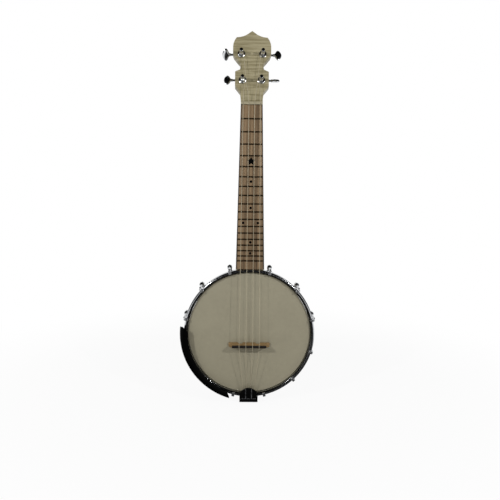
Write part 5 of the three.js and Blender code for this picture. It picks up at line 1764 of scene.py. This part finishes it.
    def worm(self, tuners, seat, number, turned_by):
        spot = joint_place(f"button_{number}_turn")
        way, half, edge = math.copysign(1, spot.x), tuners.worm_length / 2, tuners.shaft_edge
        reach = (tuners.reach_upper if number in "14" else tuners.reach_lower) - abs(spot.x)
        ear = half + seat + tuners.plate + tuners.shaft_end
        start, end = (-ear, reach) if way > 0 else (-reach, ear)
        radius = tuners.shaft
        shaft = turned(f"worm_{number}", [
            (0, start), (radius - edge, start), (radius, start + edge), (radius, end - edge),
            (radius - edge, end), (0, end)], 28)
        core = cylinder("core", tuners.worm - self.under, -half, half)
        for part in (shaft, core):
            place(part, at(0, 0, 0, 90, "Y"))
        facing = at(0, 0, 0, turned_by)
        if way < 0:
            facing = at(0, 0, 0, 180, "Z") @ facing
        button = place(self.button(tuners, reach), facing)
        whole = combine(shaft, core, self.thread(tuners), button)
        place(whole, self.face @ at(*spot))
        install(whole, look(chrome), "chrome", f"tuner_button_{number}", body=f"button_{number}",
                smooth=40)

    def thread(self, tuners):
        pitch, tip = math.pi * tuners.module, tuners.worm + self.over
        turns = (tuners.worm_length - pitch) / pitch
        steps = round(turns * 28)
        sink, edge = tuners.worm - self.under - tuners.shaft / 2, tip - tuners.thread_edge
        corners = [(sink, -0.31), (edge, -0.14), (tip, -0.1), (tip, 0.1), (edge, 0.14),
                   (sink, 0.31)]
        rings = []
        for k in range(steps + 1):
            share = turns * (k / steps - 0.5)
            turn = 2 * math.pi * share
            rings.append([(pitch * (share + along), radius * math.cos(turn),
                           radius * math.sin(turn)) for radius, along in corners])
        return lofted("thread", rings)

    def button(self, tuners, reach):
        """A flat oval knob on its neck, out along x."""
        length, radius = tuners.button_length, tuners.button_neck
        start = reach - length / 2
        shares = [(-0.16, 0.21, 0.8), (0, 0.22, 0.85), (0.1, 0.3, 0.9), (0.2, 0.52, 0.96),
                  (0.32, 0.82, 1), (0.5, 1, 1), (0.7, 0.9, 0.96), (0.86, 0.62, 0.8),
                  (0.95, 0.4, 0.6), (1, 0.2, 0.35)]
        turns = [2 * math.pi * i / 24 for i in range(24)]
        knob = lofted("knob", [[(start + length * share,
                                 tuners.button_half * wide * math.cos(turn),
                                 tuners.button_thickness * thick * math.sin(turn))
                                for turn in turns] for share, wide, thick in shares])
        neck = turned("neck", [
            (0, start - radius), (radius * 0.75, start - radius), (radius, start - radius * 0.7),
            (radius, start), (radius * 0.8, start + length / 5), (0, start + length / 5)], 28)
        return combine(knob, place(neck, at(0, 0, 0, 90, "Y")))


# Stage

class BANJO_OT_stage(bpy.types.Operator):
    """Set up the camera, the studio lamps, the floor and the white surroundings"""
    bl_idname = "banjo.stage"
    bl_label = "Stage"

    def execute(self, context):
        stage, = sizes_of("stage")
        self.camera(context.scene, stage)
        self.lamps(stage)
        self.surroundings(context.scene, stage)
        self.floor(stage)
        context.scene.view_settings.view_transform = "Standard"
        return {"FINISHED"}

    def camera(self, scene, stage):
        deselect()
        bpy.ops.object.camera_add(location=stage.camera_place)
        scene.camera = camera = bpy.context.active_object
        camera.data.lens = stage.camera_lens
        camera.data.sensor_width = 36
        camera.data.clip_end = 50
        turn = (Matrix.Rotation(-stage.camera_yaw, 3, "Z")
                @ Matrix.Rotation(math.radians(90) - stage.camera_down, 3, "X")
                @ Matrix.Rotation(stage.camera_roll, 3, "Z"))
        camera.rotation_euler = turn.to_euler()

    def lamps(self, stage):
        target = Vector((0, 0, stage.lamp_aim))
        for name, hand in (("lamp_left", -1), ("lamp_right", 1)):
            deselect()
            way = Vector((hand * stage.lamp_aside, -1, stage.lamp_rise)).normalized()
            bpy.ops.object.light_add(type="AREA", location=target + way * stage.lamp_distance)
            lamp = bpy.context.active_object
            lamp.name = name
            lamp.data.energy = stage.lamp_power
            lamp.data.shape = "SQUARE"
            lamp.data.size = stage.lamp_size
            lamp.rotation_euler = way.to_track_quat("Z", "Y").to_euler()

    def surroundings(self, scene, stage):
        """White for the camera, an even fill for rough surfaces, and for mirrors a dark room with
        a white backdrop behind the object and a card at each side."""
        scene.world = world = bpy.data.worlds.new("surroundings")
        world.use_nodes = True
        tree = Nodes(world.node_tree)
        x, y, z = tree.axes(tree.node("ShaderNodeTexCoord", output="Generated"))
        backdrop = (tree.spread(y, 0.35, 0.95, 0.006, 0.86, smooth=True)
                    * tree.spread(z, 0.3, 0.65, 1, 0.02, smooth=True))
        cards = tree.spread(tree.math("ABSOLUTE", x), 0.8, 0.96, 0, stage.card_strength,
                            smooth=True)
        mirrored = tree.node("ShaderNodeMix", inputs={
            0: tree.ray("Glossy"), 2: stage.fill, 3: tree.math("MAXIMUM", backdrop, cards)})
        seen = tree.math("MAXIMUM", tree.ray("Camera"), tree.ray("Transmission"))
        strength = tree.node("ShaderNodeMix", inputs={0: seen, 2: mirrored, 3: 1})
        background = world.node_tree.nodes["Background"].inputs
        background["Color"].default_value = (1, 1, 1, 1)
        world.node_tree.links.new(strength.socket, background["Strength"])

    def floor(self, stage):
        deselect()
        low = CAD_BOX[0].z - stage.floor_gap
        bpy.ops.mesh.primitive_plane_add(size=stage.floor_size, location=(0, 0, low))
        floor = named("floor")
        with editing(floor):
            bpy.ops.mesh.select_all(action="SELECT")
            bpy.ops.mesh.subdivide(number_cuts=4)
        place(floor, at(0, 0, low))
        finish = Finish("floor_white", Roughness=0.9)
        x, y, _ = finish.axes(finish.here)
        away = finish.math("MAXIMUM", y, finish.math("ABSOLUTE", x) - stage.floor_dark)
        behind = finish.spread(away, 0.02, 0.3, smooth=True)
        mirrored = finish.ray("Glossy")
        finish.feed("Base Color", finish.mix(mirrored * (1 - behind), (0.84, 0.84, 0.84),
                                             (0.01, 0.01, 0.01)))
        far = finish.spread((x * x + y * y) ** 0.5, 0.25, 0.75, smooth=True)
        share = ((finish.ray("Camera") + finish.ray("Transmission")) * (0.92 + 0.08 * far)
                 + mirrored * behind)
        glow = finish.node("ShaderNodeEmission", inputs={"Strength": 1})
        base = Wire(finish, finish.shader.outputs[0])
        mixed = finish.node("ShaderNodeMixShader", inputs={0: share, 1: base, 2: glow})
        finish.tree.links.new(mixed.socket, finish.output.inputs[0])
        floor.data.materials.append(finish.material)


class BANJO_PT_panel(bpy.types.Panel):
    """Lists the pieces of the banjo ukulele"""
    bl_idname = "BANJO_PT_panel"
    bl_label = "Banjo ukulele"
    bl_space_type = "VIEW_3D"
    bl_region_type = "UI"
    bl_category = "Banjo ukulele"

    def draw(self, context):
        for name in GROUPS:
            box = self.layout.box()
            group = getattr(context.scene, name)
            for prop in group.bl_rna.properties:
                if not prop.is_readonly and prop.identifier != "name":
                    box.prop(group, prop.identifier)
        for maker in MAKER_OPERATORS:
            self.layout.operator(maker.bl_idname)


GROUPS = {
    "banjo_fit": BanjoFit,
    "banjo_pot": BanjoPot,
    "banjo_hooks": BanjoHooks,
    "banjo_bolt": BanjoBolt,
    "banjo_tail": BanjoTail,
    "banjo_armrest": BanjoArmrest,
    "banjo_neck": BanjoNeck,
    "banjo_board": BanjoBoard,
    "banjo_bridge": BanjoBridge,
    "banjo_strings": BanjoStrings,
    "banjo_tuners": BanjoTuners,
    "banjo_finishes": BanjoFinishes,
    "banjo_stage": BanjoStage,
}

MAKER_OPERATORS = (
    BANJO_OT_rim,
    BANJO_OT_head,
    BANJO_OT_tension_hoop,
    BANJO_OT_hooks,
    BANJO_OT_shoes,
    BANJO_OT_rod,
    BANJO_OT_tailpiece,
    BANJO_OT_armrest,
    BANJO_OT_neck,
    BANJO_OT_board,
    BANJO_OT_nut,
    BANJO_OT_bridge,
    BANJO_OT_strings,
    BANJO_OT_tuners,
    BANJO_OT_stage,
)


def register():
    for each in (*GROUPS.values(), *MAKER_OPERATORS, BANJO_PT_panel):
        bpy.utils.register_class(each)
    for name, group in GROUPS.items():
        setattr(bpy.types.Scene, name, PointerProperty(type=group))


def unregister():
    for name in GROUPS:
        delattr(bpy.types.Scene, name)
    for each in (BANJO_PT_panel, *MAKER_OPERATORS, *GROUPS.values()):
        bpy.utils.unregister_class(each)


def main():
    register()
    for maker in MAKER_OPERATORS:
        group, action = maker.bl_idname.split(".")
        getattr(getattr(bpy.ops, group), action)()


if __name__ == "__main__":
    main()
